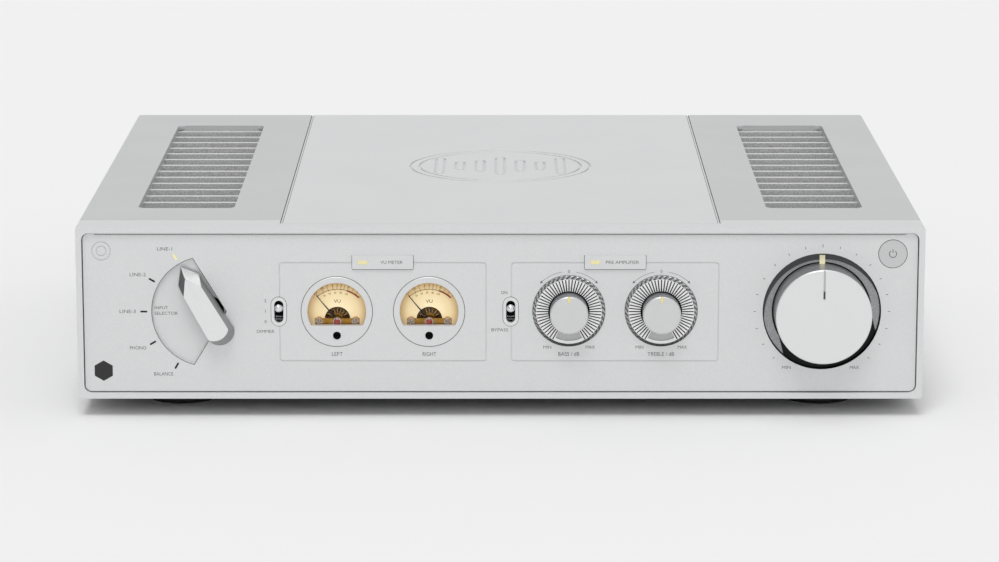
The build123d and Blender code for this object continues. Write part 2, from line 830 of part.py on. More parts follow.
# inside
def transformer():
    """Ring core transformer with its clamping disc and bolt."""
    low = steel + 1.0
    ring = post(toroid_x, toroid_behind, toroid_radius, low, low + toroid_height)
    ring -= post(toroid_x, toroid_behind, toroid_hole, low - 1, low + toroid_height + 1)
    ring = fillet(ring.edges().filter_by(GeomType.CIRCLE).group_by(Axis.Z)[-1], 9.0)
    ring = fillet(ring.edges().filter_by(GeomType.CIRCLE).group_by(Axis.Z)[0], 5.0)
    disc = post(toroid_x, toroid_behind, 30, low + toroid_height, low + toroid_height + 2)
    bolt = post(toroid_x, toroid_behind, 3, steel, low + toroid_height + 8)
    bolt += post(toroid_x, toroid_behind, 7, low + toroid_height + 2, low + toroid_height + 6)
    mat = post(toroid_x, toroid_behind, toroid_radius - 6, steel, low)
    return group([ring, disc + bolt, mat - post(toroid_x, toroid_behind, 3, steel - 1, low + 1)])


def board(area):
    left, right, front, back = area
    low = steel + standoff_height
    return block(left, right, front, back, low, low + board_thickness)


def board_standoffs():
    made = []
    for left, right, front, back in (amplifier_board_area, preamp_board_area):
        for x in (left + 6, right - 6):
            for behind in (front + 6, back - 6):
                made.append(post(x, behind, 3, steel, steel + standoff_height))
    return group(made)


def capacitors():
    low = steel + standoff_height + board_thickness
    made = []
    for x in (50.0, 92.0):
        for behind in (125.0, 165.0):
            can = post(x, behind, 17.5, low, low + 46)
            made.append(fillet(can.edges().sort_by(Axis.Z)[-1], 2.0))
    return group(made)


def heat_sinks():
    """Comb section sinks under the vents, fins running from front to back."""
    made = []
    for side in (-1, 1):
        left, right = sorted((side * sink_inner, side * sink_outer))
        sink = block(left, right, sink_front, sink_back, steel, steel + 6)
        for i in range(8):
            fin = left + i * (right - left - 3) / 7
            sink += block(fin, fin + 3, sink_front, sink_back, steel + 5, sink_height)
        made.append(sink)
    return group(made)


def power_transistors():
    """Flat packages clamped to the inner faces of the sinks."""
    made = []
    for side in (-1, 1):
        for i in range(4):
            behind = sink_front + 40 + 40 * i
            left, right = sorted((side * sink_inner, side * (sink_inner - 5)))
            made.append(block(left, right, behind - 10, behind + 10, 28, 54))
    return group(made)


nodes = {
    "front_frame": front_frame(),
    "front_panel": front_panel(),
    "sub_panel": sub_panel(),
    "bottom_tray": bottom_tray(),
    "rear_panel": rear_panel(),
    "top_plate": top_plate(),
    "left_wing": wing(-1),
    "right_wing": wing(1),
    "left_vent_grille": vent_grille(-1),
    "right_vent_grille": vent_grille(1),
    "top_rails": top_rails(),
    "feet": feet(),
    "foot_pads": foot_pads(),
    "case_screws": case_screws(),
    "ir_window": ir_window(),
    "label_plates": label_plates(),
    "lamp_windows": lamp_windows(),
    "volume_knob": volume_knob(),
    "volume_light_pipe": volume_light_pipe(),
    "volume_shaft": shaft(volume_x, control_height, -volume_reach + 4),
    "volume_pot": volume_pot(),
    "bass_knob": tone_knob(tone_x[0]),
    "bass_shaft": shaft(tone_x[0], tone_height, -tone_reach + 4),
    "treble_knob": tone_knob(tone_x[1]),
    "treble_shaft": shaft(tone_x[1], tone_height, -tone_reach + 4),
    "tone_scale_rings": tone_scale_rings(),
    "tone_pots": tone_pots(),
    "selector_knob": selector_knob(),
    "selector_shaft": shaft(selector_x, control_height, -selector_reach + 3),
    "selector_switch": control_body(selector_x, control_height, 14.0, 44),
    "selector_windows": selector_windows(),
    "toggle_escutcheons": toggle_escutcheons(),
    "toggle_bodies": toggle_bodies(),
    "dimmer_lever": toggle_lever(dimmer_x),
    "bypass_lever": toggle_lever(bypass_x),
    "power_button": power_button(),
    "power_switch": power_switch(),
    "meter_bezels": meter_bezels(),
    "meter_lenses": meter_lenses(),
    "meter_housings": meter_housings(),
    "meter_dials": meter_dials(),
    "meter_movements": meter_movements(),
    "left_needle": needle(meter_x[0]),
    "right_needle": needle(meter_x[1]),
    "left_zero_screw": zero_screw(meter_x[0]),
    "right_zero_screw": zero_screw(meter_x[1]),
    "mains_inlet": mains_inlet(),
    "binding_posts": binding_posts(),
    "post_cap_1": post_cap(post_x[0]),
    "post_cap_2": post_cap(post_x[1]),
    "post_cap_3": post_cap(post_x[2]),
    "post_cap_4": post_cap(post_x[3]),
    "rca_jacks": rca_jacks(),
    "transformer": transformer(),
    "amplifier_board": board(amplifier_board_area),
    "preamp_board": board(preamp_board_area),
    "board_standoffs": board_standoffs(),
    "capacitors": capacitors(),
    "heat_sinks": heat_sinks(),
    "power_transistors": power_transistors(),
}

os.makedirs("parts", exist_ok=True)
for name, shape in nodes.items():
    export_step(shape, f"parts/{name}.step")
print(len(nodes), "nodes")
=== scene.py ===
import json
import math
import bpy
import bmesh
from mathutils import Matrix, Vector


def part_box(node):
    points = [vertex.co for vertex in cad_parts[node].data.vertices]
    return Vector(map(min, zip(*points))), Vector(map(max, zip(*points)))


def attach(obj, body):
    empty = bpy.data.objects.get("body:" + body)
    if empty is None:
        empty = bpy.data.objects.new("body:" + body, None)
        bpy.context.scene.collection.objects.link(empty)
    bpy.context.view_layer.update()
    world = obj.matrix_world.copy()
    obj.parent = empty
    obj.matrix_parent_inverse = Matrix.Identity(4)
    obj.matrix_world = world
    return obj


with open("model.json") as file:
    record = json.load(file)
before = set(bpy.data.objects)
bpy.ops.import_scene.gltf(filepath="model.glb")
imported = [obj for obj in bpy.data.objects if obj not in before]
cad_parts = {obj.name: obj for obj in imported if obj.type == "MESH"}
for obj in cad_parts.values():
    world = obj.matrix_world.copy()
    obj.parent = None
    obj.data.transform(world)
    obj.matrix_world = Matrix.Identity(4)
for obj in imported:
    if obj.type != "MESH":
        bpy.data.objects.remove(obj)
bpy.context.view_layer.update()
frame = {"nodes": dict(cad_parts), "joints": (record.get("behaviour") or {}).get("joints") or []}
nodes = frame["nodes"]
joints = {joint["name"]: joint for joint in frame["joints"]}
mm = 0.001

# reference planes of the case, in metres
frameLow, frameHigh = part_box("front_frame")
caseBottom = frameLow.z
caseTop = frameHigh.z
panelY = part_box("front_panel")[0].y
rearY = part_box("rear_panel")[1].y
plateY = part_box("label_plates")[0].y
print("frame loaded:", len(nodes), "nodes")


def hexToLinear(code):
    channels = [int(code[i:i + 2], 16) / 255 for i in (1, 3, 5)]
    return tuple(c / 12.92 if c <= 0.04045 else ((c + 0.055) / 1.055) ** 2.4 for c in channels) + (1.0,)


def addNode(tree, kind, settings=None, links=None):
    node = tree.nodes.new(kind)
    for key, value in (settings or {}).items():
        if isinstance(key, str) and hasattr(node, key):
            setattr(node, key, value)
        else:
            node.inputs[key].default_value = value
    for key, socket in (links or {}).items():
        tree.links.new(socket, node.inputs[key])
    return node


def newMaterial(name, **settings):
    material = bpy.data.materials.new(name)
    material.use_nodes = True
    tree = material.node_tree
    shader = tree.nodes["Principled BSDF"]
    for key, value in settings.items():
        shader.inputs[key.replace("_", " ")].default_value = value
    place = addNode(tree, "ShaderNodeTexCoord").outputs["Object"]
    return material, tree, shader, place


def jointPlace(name):
    return Vector(joints[name]["pos_m"])


def radiusFrom(tree, place, axis):
    # distance from a line that runs from front to back through a control
    parts = addNode(tree, "ShaderNodeSeparateXYZ", links={0: place})
    flat = addNode(tree, "ShaderNodeCombineXYZ", links={0: parts.outputs["X"], 2: parts.outputs["Z"]})
    away = addNode(tree, "ShaderNodeVectorMath", {"operation": "DISTANCE"}, {0: flat.outputs[0]})
    away.inputs[1].default_value = (axis.x, 0, axis.z)
    return away.outputs["Value"], parts.outputs["Y"]


def placeOnFront(x, y, z, turn=0.0):
    return Matrix.Translation((x, y, z)) @ Matrix.Rotation(math.radians(90), 4, "X") @ Matrix.Rotation(turn, 4, "Z")


def finishMesh(bm, name, body, material):
    mesh = bpy.data.meshes.new(name)
    bm.to_mesh(mesh)
    bm.free()
    mesh.materials.append(material)
    piece = bpy.data.objects.new(name, mesh)
    bpy.context.scene.collection.objects.link(piece)
    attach(piece, body)
    return piece


def polar(radius, degrees):
    return radius * math.cos(math.radians(degrees)), radius * math.sin(math.radians(degrees))


def addPrism(bm, outline, thickness, matrix):
    low = [bm.verts.new(matrix @ Vector((x, y, 0))) for x, y in outline]
    high = [bm.verts.new(matrix @ Vector((x, y, thickness))) for x, y in outline]
    bm.faces.new(list(reversed(low)))
    bm.faces.new(high)
    for i in range(len(outline)):
        j = (i + 1) % len(outline)
        bm.faces.new((low[i], low[j], high[j], high[i]))


def bar(length, width):
    return [(-length / 2, -width / 2), (length / 2, -width / 2), (length / 2, width / 2), (-length / 2, width / 2)]


def arcBand(radius, width, start, end, steps):
    angles = [start + (end - start) * i / steps for i in range(steps + 1)]
    if end < start:
        angles.reverse()
    outer = [polar(radius + width / 2, a) for a in angles]
    inner = [polar(radius - width / 2, a) for a in reversed(angles)]
    return outer + inner


def addText(bm, words, capital, matrix, width=None, align="CENTER", thickness=0.02 * mm):
    # capital is the height of a capital letter and width the length of the whole word, in metres
    curve = bpy.data.curves.new("lettering", "FONT")
    curve.body = words
    curve.size = capital / 0.69
    curve.align_x = align
    curve.align_y = "CENTER"
    curve.resolution_u = 3
    curve.extrude = thickness / 2
    holder = bpy.data.objects.new("lettering", curve)
    bpy.context.scene.collection.objects.link(holder)
    bpy.context.view_layer.update()
    mesh = bpy.data.meshes.new_from_object(holder.evaluated_get(bpy.context.evaluated_depsgraph_get()))
    across = [v.co.x for v in mesh.vertices]
    stretch = width / (max(across) - min(across)) if width else 1.0
    mesh.transform(matrix @ Matrix.Translation((0, 0, thickness / 2)) @ Matrix.Diagonal((stretch, 1, 1, 1)))
    bm.from_mesh(mesh)
    bpy.data.objects.remove(holder)
    bpy.data.meshes.remove(mesh)
    bpy.data.curves.remove(curve)


def lathe(bm, profile, matrix, count=96, closed=True):
    # turns (radius, height) points round the local Z axis
    rings = []
    for radius, height in profile:
        if radius < 1e-7:
            rings.append([bm.verts.new(matrix @ Vector((0, 0, height)))])
        else:
            rings.append([bm.verts.new(matrix @ Vector((*polar(radius, 360 * i / count), height)))
                          for i in range(count)])
    pairs = list(zip(rings, rings[1:]))
    if closed:
        pairs.append((rings[-1], rings[0]))
    for a, b in pairs:
        for i in range(count):
            j = (i + 1) % count
            corners = (a[i % len(a)], a[j % len(a)], b[j % len(b)], b[i % len(b)])
            corners = tuple(dict.fromkeys(corners))
            if len(corners) > 2:
                bm.faces.new(corners)
    bmesh.ops.recalc_face_normals(bm, faces=bm.faces)


volumeAxis = jointPlace("volume_turn")
toneAxes = [jointPlace("bass_turn"), jointPlace("treble_turn")]
selectorAxis = jointPlace("selector_turn")
dimmerAxis = jointPlace("dimmer_tilt")
bypassAxis = jointPlace("bypass_tilt")
meterAxes = [jointPlace("left_pointer_swing"), jointPlace("right_pointer_swing")]

# depth of every surface relief at full strength
bumpDepth = 0.2 * mm

# bead blasting leaves shallow pits about half a millimetre across: the metal scatters light softly,
# half like a mirror blurred by the pits and half like the milky anodised layer over them
blastedLook = {"colour": "#DCDDDD", "dark": "#D7D8D9", "pit": 0.55, "roughness": 0.42, "milky": 0.45, "relief": 0.05}


def makeBlastedAluminium(name, colour, dark, pit, roughness, milky, relief):
    material, tree, shader, place = newMaterial(name, Metallic=1.0 - milky)
    pits = addNode(tree, "ShaderNodeTexNoise", {"Scale": 1 / (pit * mm), "Detail": 2.0}, {"Vector": place})
    clouds = addNode(tree, "ShaderNodeTexNoise", {"Scale": 25.0, "Detail": 2.0}, {"Vector": place})
    share = addNode(tree, "ShaderNodeMapRange", {"From Min": 0.36, "From Max": 0.64}, {"Value": pits.outputs["Fac"]})
    mix = addNode(tree, "ShaderNodeMix", {"data_type": "RGBA", 6: hexToLinear(dark), 7: hexToLinear(colour)},
                  {0: share.outputs[0]})
    tree.links.new(mix.outputs[2], shader.inputs["Base Color"])
    rough = addNode(tree, "ShaderNodeMapRange",
                    {"From Min": 0.3, "From Max": 0.7, "To Min": roughness - 0.03, "To Max": roughness + 0.03},
                    {"Value": clouds.outputs["Fac"]})
    tree.links.new(rough.outputs["Result"], shader.inputs["Roughness"])
    bump = addNode(tree, "ShaderNodeBump", {"Strength": relief, "Distance": bumpDepth},
                   {"Height": pits.outputs["Fac"]})
    tree.links.new(bump.outputs["Normal"], shader.inputs["Normal"])
    return material


beadBlastedAnodisedAluminium = makeBlastedAluminium("beadBlastedAnodisedAluminium", **blastedLook)
# a copy of the blasted finish half a shade darker: on the wings it is painted shade, and the power button takes the
# same copy
darkerBlastedAluminium = makeBlastedAluminium(
    "darkerBlastedAluminium", colour="#CBCCCC", dark="#C6C7C8", pit=0.55, roughness=0.42, milky=0.45, relief=0.05)
# machined and finer blasted: a shade brighter, with a tighter highlight on its broken edges
turnedBlastedAluminium = makeBlastedAluminium(
    "turnedBlastedAluminium", colour="#E2E3E3", dark="#DEDFDF", pit=0.4, roughness=0.34, milky=0.35, relief=0.03)
# the selector's top is blasted; its flanks are painted darker as shade, and its nose has a painted highlight on one
# facet and painted shade on the other. The angles are the ways the two facets face, with the knob at rest; the limits
# say how squarely a face must look that way to count as such a facet
selectorLook = {"top": "#E6E7E7", "topDark": "#E2E3E3", "flankShade": "#939495", "topLimit": -0.75,
                "paintedHighlightFacet": (68.4, 0.84, "#FAFAFA"), "paintedShadeFacet": (171.6, 0.7, "#454648")}


def makeSelectorFinishWithPaintedLight():
    material = makeBlastedAluminium("blastedAluminiumPaintedFacets", colour=selectorLook["top"],
                                    dark=selectorLook["topDark"], pit=0.4, roughness=0.32, milky=0.4, relief=0.03)
    tree = material.node_tree
    shader = tree.nodes["Principled BSDF"]
    bright = shader.inputs["Base Color"].links[0].from_socket
    normal = addNode(tree, "ShaderNodeTexCoord").outputs["Normal"]
    parts = addNode(tree, "ShaderNodeSeparateXYZ", links={0: normal})
    # painted shade: the flanks take a darker colour than the top
    flankShadeMask = addNode(tree, "ShaderNodeMath", {"operation": "GREATER_THAN", 1: selectorLook["topLimit"]},
                     {0: parts.outputs["Y"]}).outputs[0]
    finish = addNode(tree, "ShaderNodeMix", {"data_type": "RGBA", 7: hexToLinear(selectorLook["flankShade"])},
                     {0: flankShadeMask, 6: bright}).outputs[2]
    # painted highlight on one facet of the nose and painted shade on the other
    for angle, limit, colour in (selectorLook["paintedHighlightFacet"], selectorLook["paintedShadeFacet"]):
        dx, dz = polar(1.0, angle)
        towards = addNode(tree, "ShaderNodeVectorMath", {"operation": "DOT_PRODUCT", 1: (dx, 0, dz)}, {0: normal})
        facet = addNode(tree, "ShaderNodeMath", {"operation": "GREATER_THAN", 1: limit},
                        {0: towards.outputs["Value"]})
        finish = addNode(tree, "ShaderNodeMix", {"data_type": "RGBA", 7: hexToLinear(colour)},
                         {0: facet.outputs[0], 6: finish}).outputs[2]
    tree.links.new(finish, shader.inputs["Base Color"])
    return material


blastedAluminiumPaintedFacets = makeSelectorFinishWithPaintedLight()
# vent slats: silver paint with a coarse sparkle
silverPaintedSteel = makeBlastedAluminium(
    "silverPaintedSteel", colour="#E4E4E4", dark="#C6C7C7", pit=0.8, roughness=0.45, milky=0.5, relief=0.1)

# dark grey anodising: soft sheen, coarse grain that glitters in grazing light; "deep" is the near black of painted
# shade in the volume recess and channel
greyLook = {"colour": "#B2B3B4", "dark": "#8C8E90", "pit": 0.5, "deep": "#0B0B0C"}


def addGreyGrain(tree, place):
    grain = addNode(tree, "ShaderNodeTexNoise", {"Scale": 1 / (greyLook["pit"] * mm), "Detail": 3.0},
                    {"Vector": place}).outputs["Fac"]
    share = addNode(tree, "ShaderNodeMapRange", {"From Min": 0.35, "From Max": 0.65}, {"Value": grain}).outputs[0]
    return addNode(tree, "ShaderNodeMix", {"data_type": "RGBA", 6: hexToLinear(greyLook["dark"]),
                                           7: hexToLinear(greyLook["colour"])}, {0: share}).outputs[2]


# the volume knob is one turned piece: bright face, duller side, grey anodised skirt; the undercut between them is
# painted near black as shade
volumeRadii = {"face": 24.3 * mm, "undercut": 25.3 * mm, "recess": 30.2 * mm}
# the skirt lies deep in a narrow round recess: painted shade darkens a band under the upper lip, and a painted shadow
# makes the part below the knob black. "lean" turns that painted shadow away from straight down, in degrees; "soft" is
# the width of each edge
channelLook = {"lipShade": (0.8 * mm, 0, -3.4 * mm), "lipRadius": 29.8 * mm, "lipShadowColour": "#4C4E50",
               "side": "#B0B1B2", "sideFrom": 0.8 * mm, "lean": 14.5, "soft": 0.3 * mm}


def makePanelFinishWithShadedRecess():
    # the panel's finish, with the round recess of the volume knob painted black as shade
    material = makeBlastedAluminium("blastedAluminiumPaintedShadeRecess", **blastedLook)
    tree = material.node_tree
    shader = tree.nodes["Principled BSDF"]
    place = addNode(tree, "ShaderNodeTexCoord").outputs["Object"]
    bright = shader.inputs["Base Color"].links[0].from_socket
    radius, depth = radiusFrom(tree, place, volumeAxis)
    inside = addNode(tree, "ShaderNodeMath", {"operation": "LESS_THAN", 1: volumeRadii["recess"]}, {0: radius})
    behind = addNode(tree, "ShaderNodeMath", {"operation": "GREATER_THAN", 1: panelY + 0.1 * mm}, {0: depth})
    both = addNode(tree, "ShaderNodeMath", {"operation": "MULTIPLY"},
                   {0: inside.outputs[0], 1: behind.outputs[0]}).outputs[0]
    # painted shade: the recess round the volume knob is near black
    finish = addNode(tree, "ShaderNodeMix", {"data_type": "RGBA", 7: hexToLinear(greyLook["deep"])},
                     {0: both, 6: bright}).outputs[2]
    tree.links.new(finish, shader.inputs["Base Color"])
    return material


def makeVolumeKnobFinishWithPaintedShade():
    material = makeBlastedAluminium("turnedAluminiumPaintedShadows", colour="#E4E5E5", dark="#E0E1E1", pit=0.4,
                                    roughness=0.34, milky=0.35, relief=0.03)
    tree = material.node_tree
    shader = tree.nodes["Principled BSDF"]
    place = addNode(tree, "ShaderNodeTexCoord").outputs["Object"]
    bright = shader.inputs["Base Color"].links[0].from_socket
    radius, knobDepth = radiusFrom(tree, place, volumeAxis)
    onSkirt = addNode(tree, "ShaderNodeMath", {"operation": "GREATER_THAN", 1: volumeRadii["face"] + 0.05 * mm},
                      {0: radius}).outputs[0]
    pastUndercut = addNode(tree, "ShaderNodeMath", {"operation": "GREATER_THAN", 1: volumeRadii["undercut"]},
                           {0: radius}).outputs[0]
    # these painted shadows stay where they are when the knob turns, so they read the place in the room
    still = addNode(tree, "ShaderNodeNewGeometry").outputs["Position"]
    fromLip = radiusFrom(tree, still, volumeAxis + Vector(channelLook["lipShade"]))[0]
    lipShadowMask = addNode(tree, "ShaderNodeMapRange",
                       {"From Min": channelLook["lipRadius"],
                        "From Max": channelLook["lipRadius"] + channelLook["soft"]},
                       {"Value": fromLip}).outputs[0]
    local = addNode(tree, "ShaderNodeVectorMath", {"operation": "SUBTRACT", 1: volumeAxis}, {0: still}).outputs[0]
    lean = math.radians(channelLook["lean"])
    acrossWay = (math.cos(lean), 0, math.sin(lean))
    downWay = (math.sin(lean), 0, -math.cos(lean))
    across = addNode(tree, "ShaderNodeVectorMath", {"operation": "DOT_PRODUCT", 1: acrossWay},
                     {0: local}).outputs["Value"]
    down = addNode(tree, "ShaderNodeVectorMath", {"operation": "DOT_PRODUCT", 1: downWay},
                   {0: local}).outputs["Value"]
    beside = addNode(tree, "ShaderNodeMath", {"operation": "ABSOLUTE"}, {0: across}).outputs[0]
    within = addNode(tree, "ShaderNodeMapRange",
                     {"From Min": volumeRadii["face"], "From Max": volumeRadii["face"] - channelLook["soft"]},
                     {"Value": beside}).outputs[0]
    below = addNode(tree, "ShaderNodeMath", {"operation": "GREATER_THAN", 1: 0.0}, {0: down}).outputs[0]
    knobShadowMask = addNode(tree, "ShaderNodeMath", {"operation": "MULTIPLY"}, {0: within, 1: below}).outputs[0]
    # painted shade under the lip and painted shadow under the knob, laid over the skirt's grain
    skirt = addNode(tree, "ShaderNodeMix", {"data_type": "RGBA", 7: hexToLinear(channelLook["lipShadowColour"])},
                    {0: lipShadowMask, 6: addGreyGrain(tree, place)}).outputs[2]
    skirt = addNode(tree, "ShaderNodeMix", {"data_type": "RGBA", 7: hexToLinear(greyLook["deep"])},
                    {0: knobShadowMask, 6: skirt}).outputs[2]
    # painted shade: the undercut between face and skirt is near black
    skirt = addNode(tree, "ShaderNodeMix", {"data_type": "RGBA", 6: hexToLinear(greyLook["deep"])},
                    {0: pastUndercut, 7: skirt}).outputs[2]
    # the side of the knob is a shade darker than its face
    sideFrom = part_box("volume_knob")[0].y + channelLook["sideFrom"]
    offFace = addNode(tree, "ShaderNodeMath", {"operation": "GREATER_THAN", 1: sideFrom}, {0: knobDepth}).outputs[0]
    body = addNode(tree, "ShaderNodeMix", {"data_type": "RGBA", 7: hexToLinear(channelLook["side"])},
                   {0: offFace, 6: bright}).outputs[2]
    finish = addNode(tree, "ShaderNodeMix", {"data_type": "RGBA"}, {0: onSkirt, 6: body, 7: skirt}).outputs[2]
    tree.links.new(finish, shader.inputs["Base Color"])
    return material


# the tone controls have a bright face and a grey anodised side, which starts this far behind the face
toneLook = {"face": "#D3D4D4", "faceDark": "#CFD0D0", "side": "#94969A", "sideFrom": 0.7 * mm}


def makeToneKnobFinish(axis, faceY, name):
    material = makeBlastedAluminium(name, colour=toneLook["face"], dark=toneLook["faceDark"], pit=0.4,
                                    roughness=0.38, milky=0.45, relief=0.03)
    tree = material.node_tree
    shader = tree.nodes["Principled BSDF"]
    place = addNode(tree, "ShaderNodeTexCoord").outputs["Object"]
    bright = shader.inputs["Base Color"].links[0].from_socket
    depth = radiusFrom(tree, place, axis)[1]
    behindFace = addNode(tree, "ShaderNodeMath", {"operation": "GREATER_THAN", 1: faceY + toneLook["sideFrom"]},
                         {0: depth})
    finish = addNode(tree, "ShaderNodeMix", {"data_type": "RGBA", 7: hexToLinear(toneLook["side"])},
                     {0: behindFace.outputs[0], 6: bright}).outputs[2]
    tree.links.new(finish, shader.inputs["Base Color"])
    return material


# scale rings: bright fins, black paint wiped into the slots, grey floor between the last marks.
# "reach" is the radius the slots end at; a surface further back than "sunk" is floor, further than "deep" is slot
scaleLook = {"fin": "#F2F2F2", "finDark": "#EAEAEA", "floor": "#B9BABA", "slot": "#1E1E1F",
             "reach": 16.6 * mm, "sunk": 0.3 * mm, "deep": 0.85 * mm}


def makeScaleRingFinish():
    material = makeBlastedAluminium("paintFilledScaleAluminium", colour=scaleLook["fin"], dark=scaleLook["finDark"],
                                    pit=0.4, roughness=0.3, milky=0.5, relief=0.03)
    tree = material.node_tree
    shader = tree.nodes["Principled BSDF"]
    place = addNode(tree, "ShaderNodeTexCoord").outputs["Object"]
    bright = shader.inputs["Base Color"].links[0].from_socket
    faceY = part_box("tone_scale_rings")[0].y
    left, depth = radiusFrom(tree, place, toneAxes[0])
    right, depth = radiusFrom(tree, place, toneAxes[1])
    radius = addNode(tree, "ShaderNodeMath", {"operation": "MINIMUM"}, {0: left, 1: right}).outputs[0]
    inFace = addNode(tree, "ShaderNodeMath", {"operation": "LESS_THAN", 1: scaleLook["reach"]}, {0: radius})
    sunk = addNode(tree, "ShaderNodeMath", {"operation": "GREATER_THAN", 1: faceY + scaleLook["sunk"]}, {0: depth})
    deep = addNode(tree, "ShaderNodeMath", {"operation": "GREATER_THAN", 1: faceY + scaleLook["deep"]}, {0: depth})
    filled = addNode(tree, "ShaderNodeMix", {"data_type": "RGBA", 6: hexToLinear(scaleLook["floor"]),
                                             7: hexToLinear(scaleLook["slot"])}, {0: deep.outputs[0]}).outputs[2]
    both = addNode(tree, "ShaderNodeMath", {"operation": "MULTIPLY"},
                   {0: inFace.outputs[0], 1: sunk.outputs[0]}).outputs[0]
    finish = addNode(tree, "ShaderNodeMix", {"data_type": "RGBA"}, {0: both, 6: bright, 7: filled}).outputs[2]
    tree.links.new(finish, shader.inputs["Base Color"])
    return material


def makeSolid(name, colour, roughness, metallic=0.0, grain=1.0, uneven=0.12, relief=0.1, **more):
    # grain is the size of the texture in millimetres, uneven how much the colour wanders
    material, tree, shader, place = newMaterial(name, Metallic=metallic, **more)
    noise = addNode(tree, "ShaderNodeTexNoise", {"Scale": 1 / (grain * mm), "Detail": 3.0}, {"Vector": place})
    base = hexToLinear(colour)[:3]
    low = tuple(c * (1 - uneven) for c in base) + (1.0,)
    high = tuple(min(c * (1 + uneven), 1.0) for c in base) + (1.0,)
    mix = addNode(tree, "ShaderNodeMix", {"data_type": "RGBA", 6: low, 7: high}, {0: noise.outputs["Fac"]})
    tree.links.new(mix.outputs[2], shader.inputs["Base Color"])
    rough = addNode(tree, "ShaderNodeMapRange",
                    {"To Min": max(roughness - 0.05, 0.02), "To Max": roughness + 0.05},
                    {"Value": noise.outputs["Fac"]})
    tree.links.new(rough.outputs["Result"], shader.inputs["Roughness"])
    bump = addNode(tree, "ShaderNodeBump", {"Strength": relief, "Distance": bumpDepth},
                   {"Height": noise.outputs["Fac"]})
    tree.links.new(bump.outputs["Normal"], shader.inputs["Normal"])
    return material


# powder coat: orange peel about 0.8 mm across, dull black
powderCoatedSteel = makeSolid("powderCoatedSteel", "#2A2B2D", 0.55, grain=0.8, relief=0.25)
# painted shade for the hairline gaps and the shadow lines under edges: matt, it swallows light
shadowGap = makeSolid("shadowGap", "#3A3B3C", 0.8, grain=0.4)
# black anodising keeps a soft metal sheen
blackAnodisedAluminium = makeSolid("blackAnodisedAluminium", "#1B1C1E", 0.4, metallic=0.6, grain=0.6)
# zinc plate: bright, with a slightly uneven shine
zincPlatedSteel = makeSolid("zincPlatedSteel", "#B9BCC0", 0.28, metallic=1.0, grain=1.5)
# chrome plate: a clear mirror that shows the studio
polishedChromePlate = makeSolid("polishedChromePlate", "#E4E6E8", 0.07, metallic=1.0, grain=3.0, uneven=0.01,
                                relief=0.0)
# blackened chrome in the switch slots: a dark mirror
darkChromePlate = makeSolid("darkChromePlate", "#6C6E70", 0.18, metallic=1.0, grain=2.0, uneven=0.05, relief=0.0)
# moulded ABS: fine spark-eroded texture, dull
mouldedBlackAbs = makeSolid("mouldedBlackAbs", "#151516", 0.45, grain=0.5, relief=0.2, IOR=1.53)
# the zero screws: matt and nearly black, partly their black plastic and partly painted shade of the hole through to
# the dark inside
mattBlackAbs = makeSolid("mattBlackAbs", "#030303", 0.8, grain=0.5, relief=0.1, IOR=1.53, Specular_IOR_Level=0.08)
# rubber: black and without a highlight
mouldedRubber = makeSolid("mouldedRubber", "#191919", 0.8, grain=0.7, relief=0.3, IOR=1.52)
# smoked window: almost black, glossy
smokedPolycarbonate = makeSolid("smokedPolycarbonate", "#0F0C0D", 0.2, grain=4.0, relief=0.0, IOR=1.585)
# gold plate: warm mirror with a soft haze
goldPlatedBrass = makeSolid("goldPlatedBrass", "#D9B25E", 0.2, metallic=1.0, grain=1.2, uneven=0.04, relief=0.02)
# stamped brass under the lens: warm and uneven, tarnished in patches
stampedBrass = makeSolid("stampedBrass", "#B08238", 0.3, metallic=0.9, grain=1.6, uneven=0.5, relief=0.1)
# brown lacquer over the magnet: dark, glossy, uneven
umberLacquer = makeSolid("umberLacquer", "#2A190B", 0.25, grain=1.2, uneven=0.6, IOR=1.52)
# gloss moulded caps
glossyBlackCap = makeSolid("glossyBlackCap", "#121213", 0.25, grain=1.0, relief=0.05, IOR=1.53)
# green solder mask over copper
solderMask = makeSolid("solderMask", "#123A24", 0.35, grain=2.0, IOR=1.5)
# shrink sleeve on the capacitors: dark blue, glossy
shrinkSleeve = makeSolid("shrinkSleeve", "#161C33", 0.3, grain=3.0, IOR=1.5)
# transformer tape: overlapping film, uneven amber
polyesterWrap = makeSolid("polyesterWrap", "#B98A2A", 0.3, grain=2.5, uneven=0.25, IOR=1.6)
# screen printed ink on the front: mid grey, no gloss
screenPrintedInk = makeSolid("screenPrintedInk", "#5E6062", 0.7, grain=0.3, IOR=1.5)
# ink on the dials
dialInk = makeSolid("dialInk", "#20170E", 0.7, grain=0.2, IOR=1.5)
dialRedInk = makeSolid("dialRedInk", "#A8381E", 0.6, grain=0.2, IOR=1.5)
# enamel in the pointers
yellowEnamel = makeSolid("yellowEnamel", "#F4E08A", 0.4, grain=0.6, uneven=0.05, IOR=1.5)
darkEnamel = makeSolid("darkEnamel", "#3A3B3D", 0.5, grain=0.6, IOR=1.5)
greyEnamel = makeSolid("greyEnamel", "#B4B5B6", 0.5, grain=0.6, uneven=0.04, IOR=1.5)
# ruby bearing and its ring
rubyGlass = makeSolid("rubyGlass", "#A02A1A", 0.2, grain=1.0, IOR=1.77)
# coloured rings and washers of the rear sockets
redCollar = makeSolid("redCollar", "#8E1512", 0.35, grain=1.0, IOR=1.5)
whiteInsulator = makeSolid("whiteInsulator", "#D8D6CF", 0.4, grain=1.0, uneven=0.04, IOR=1.5)


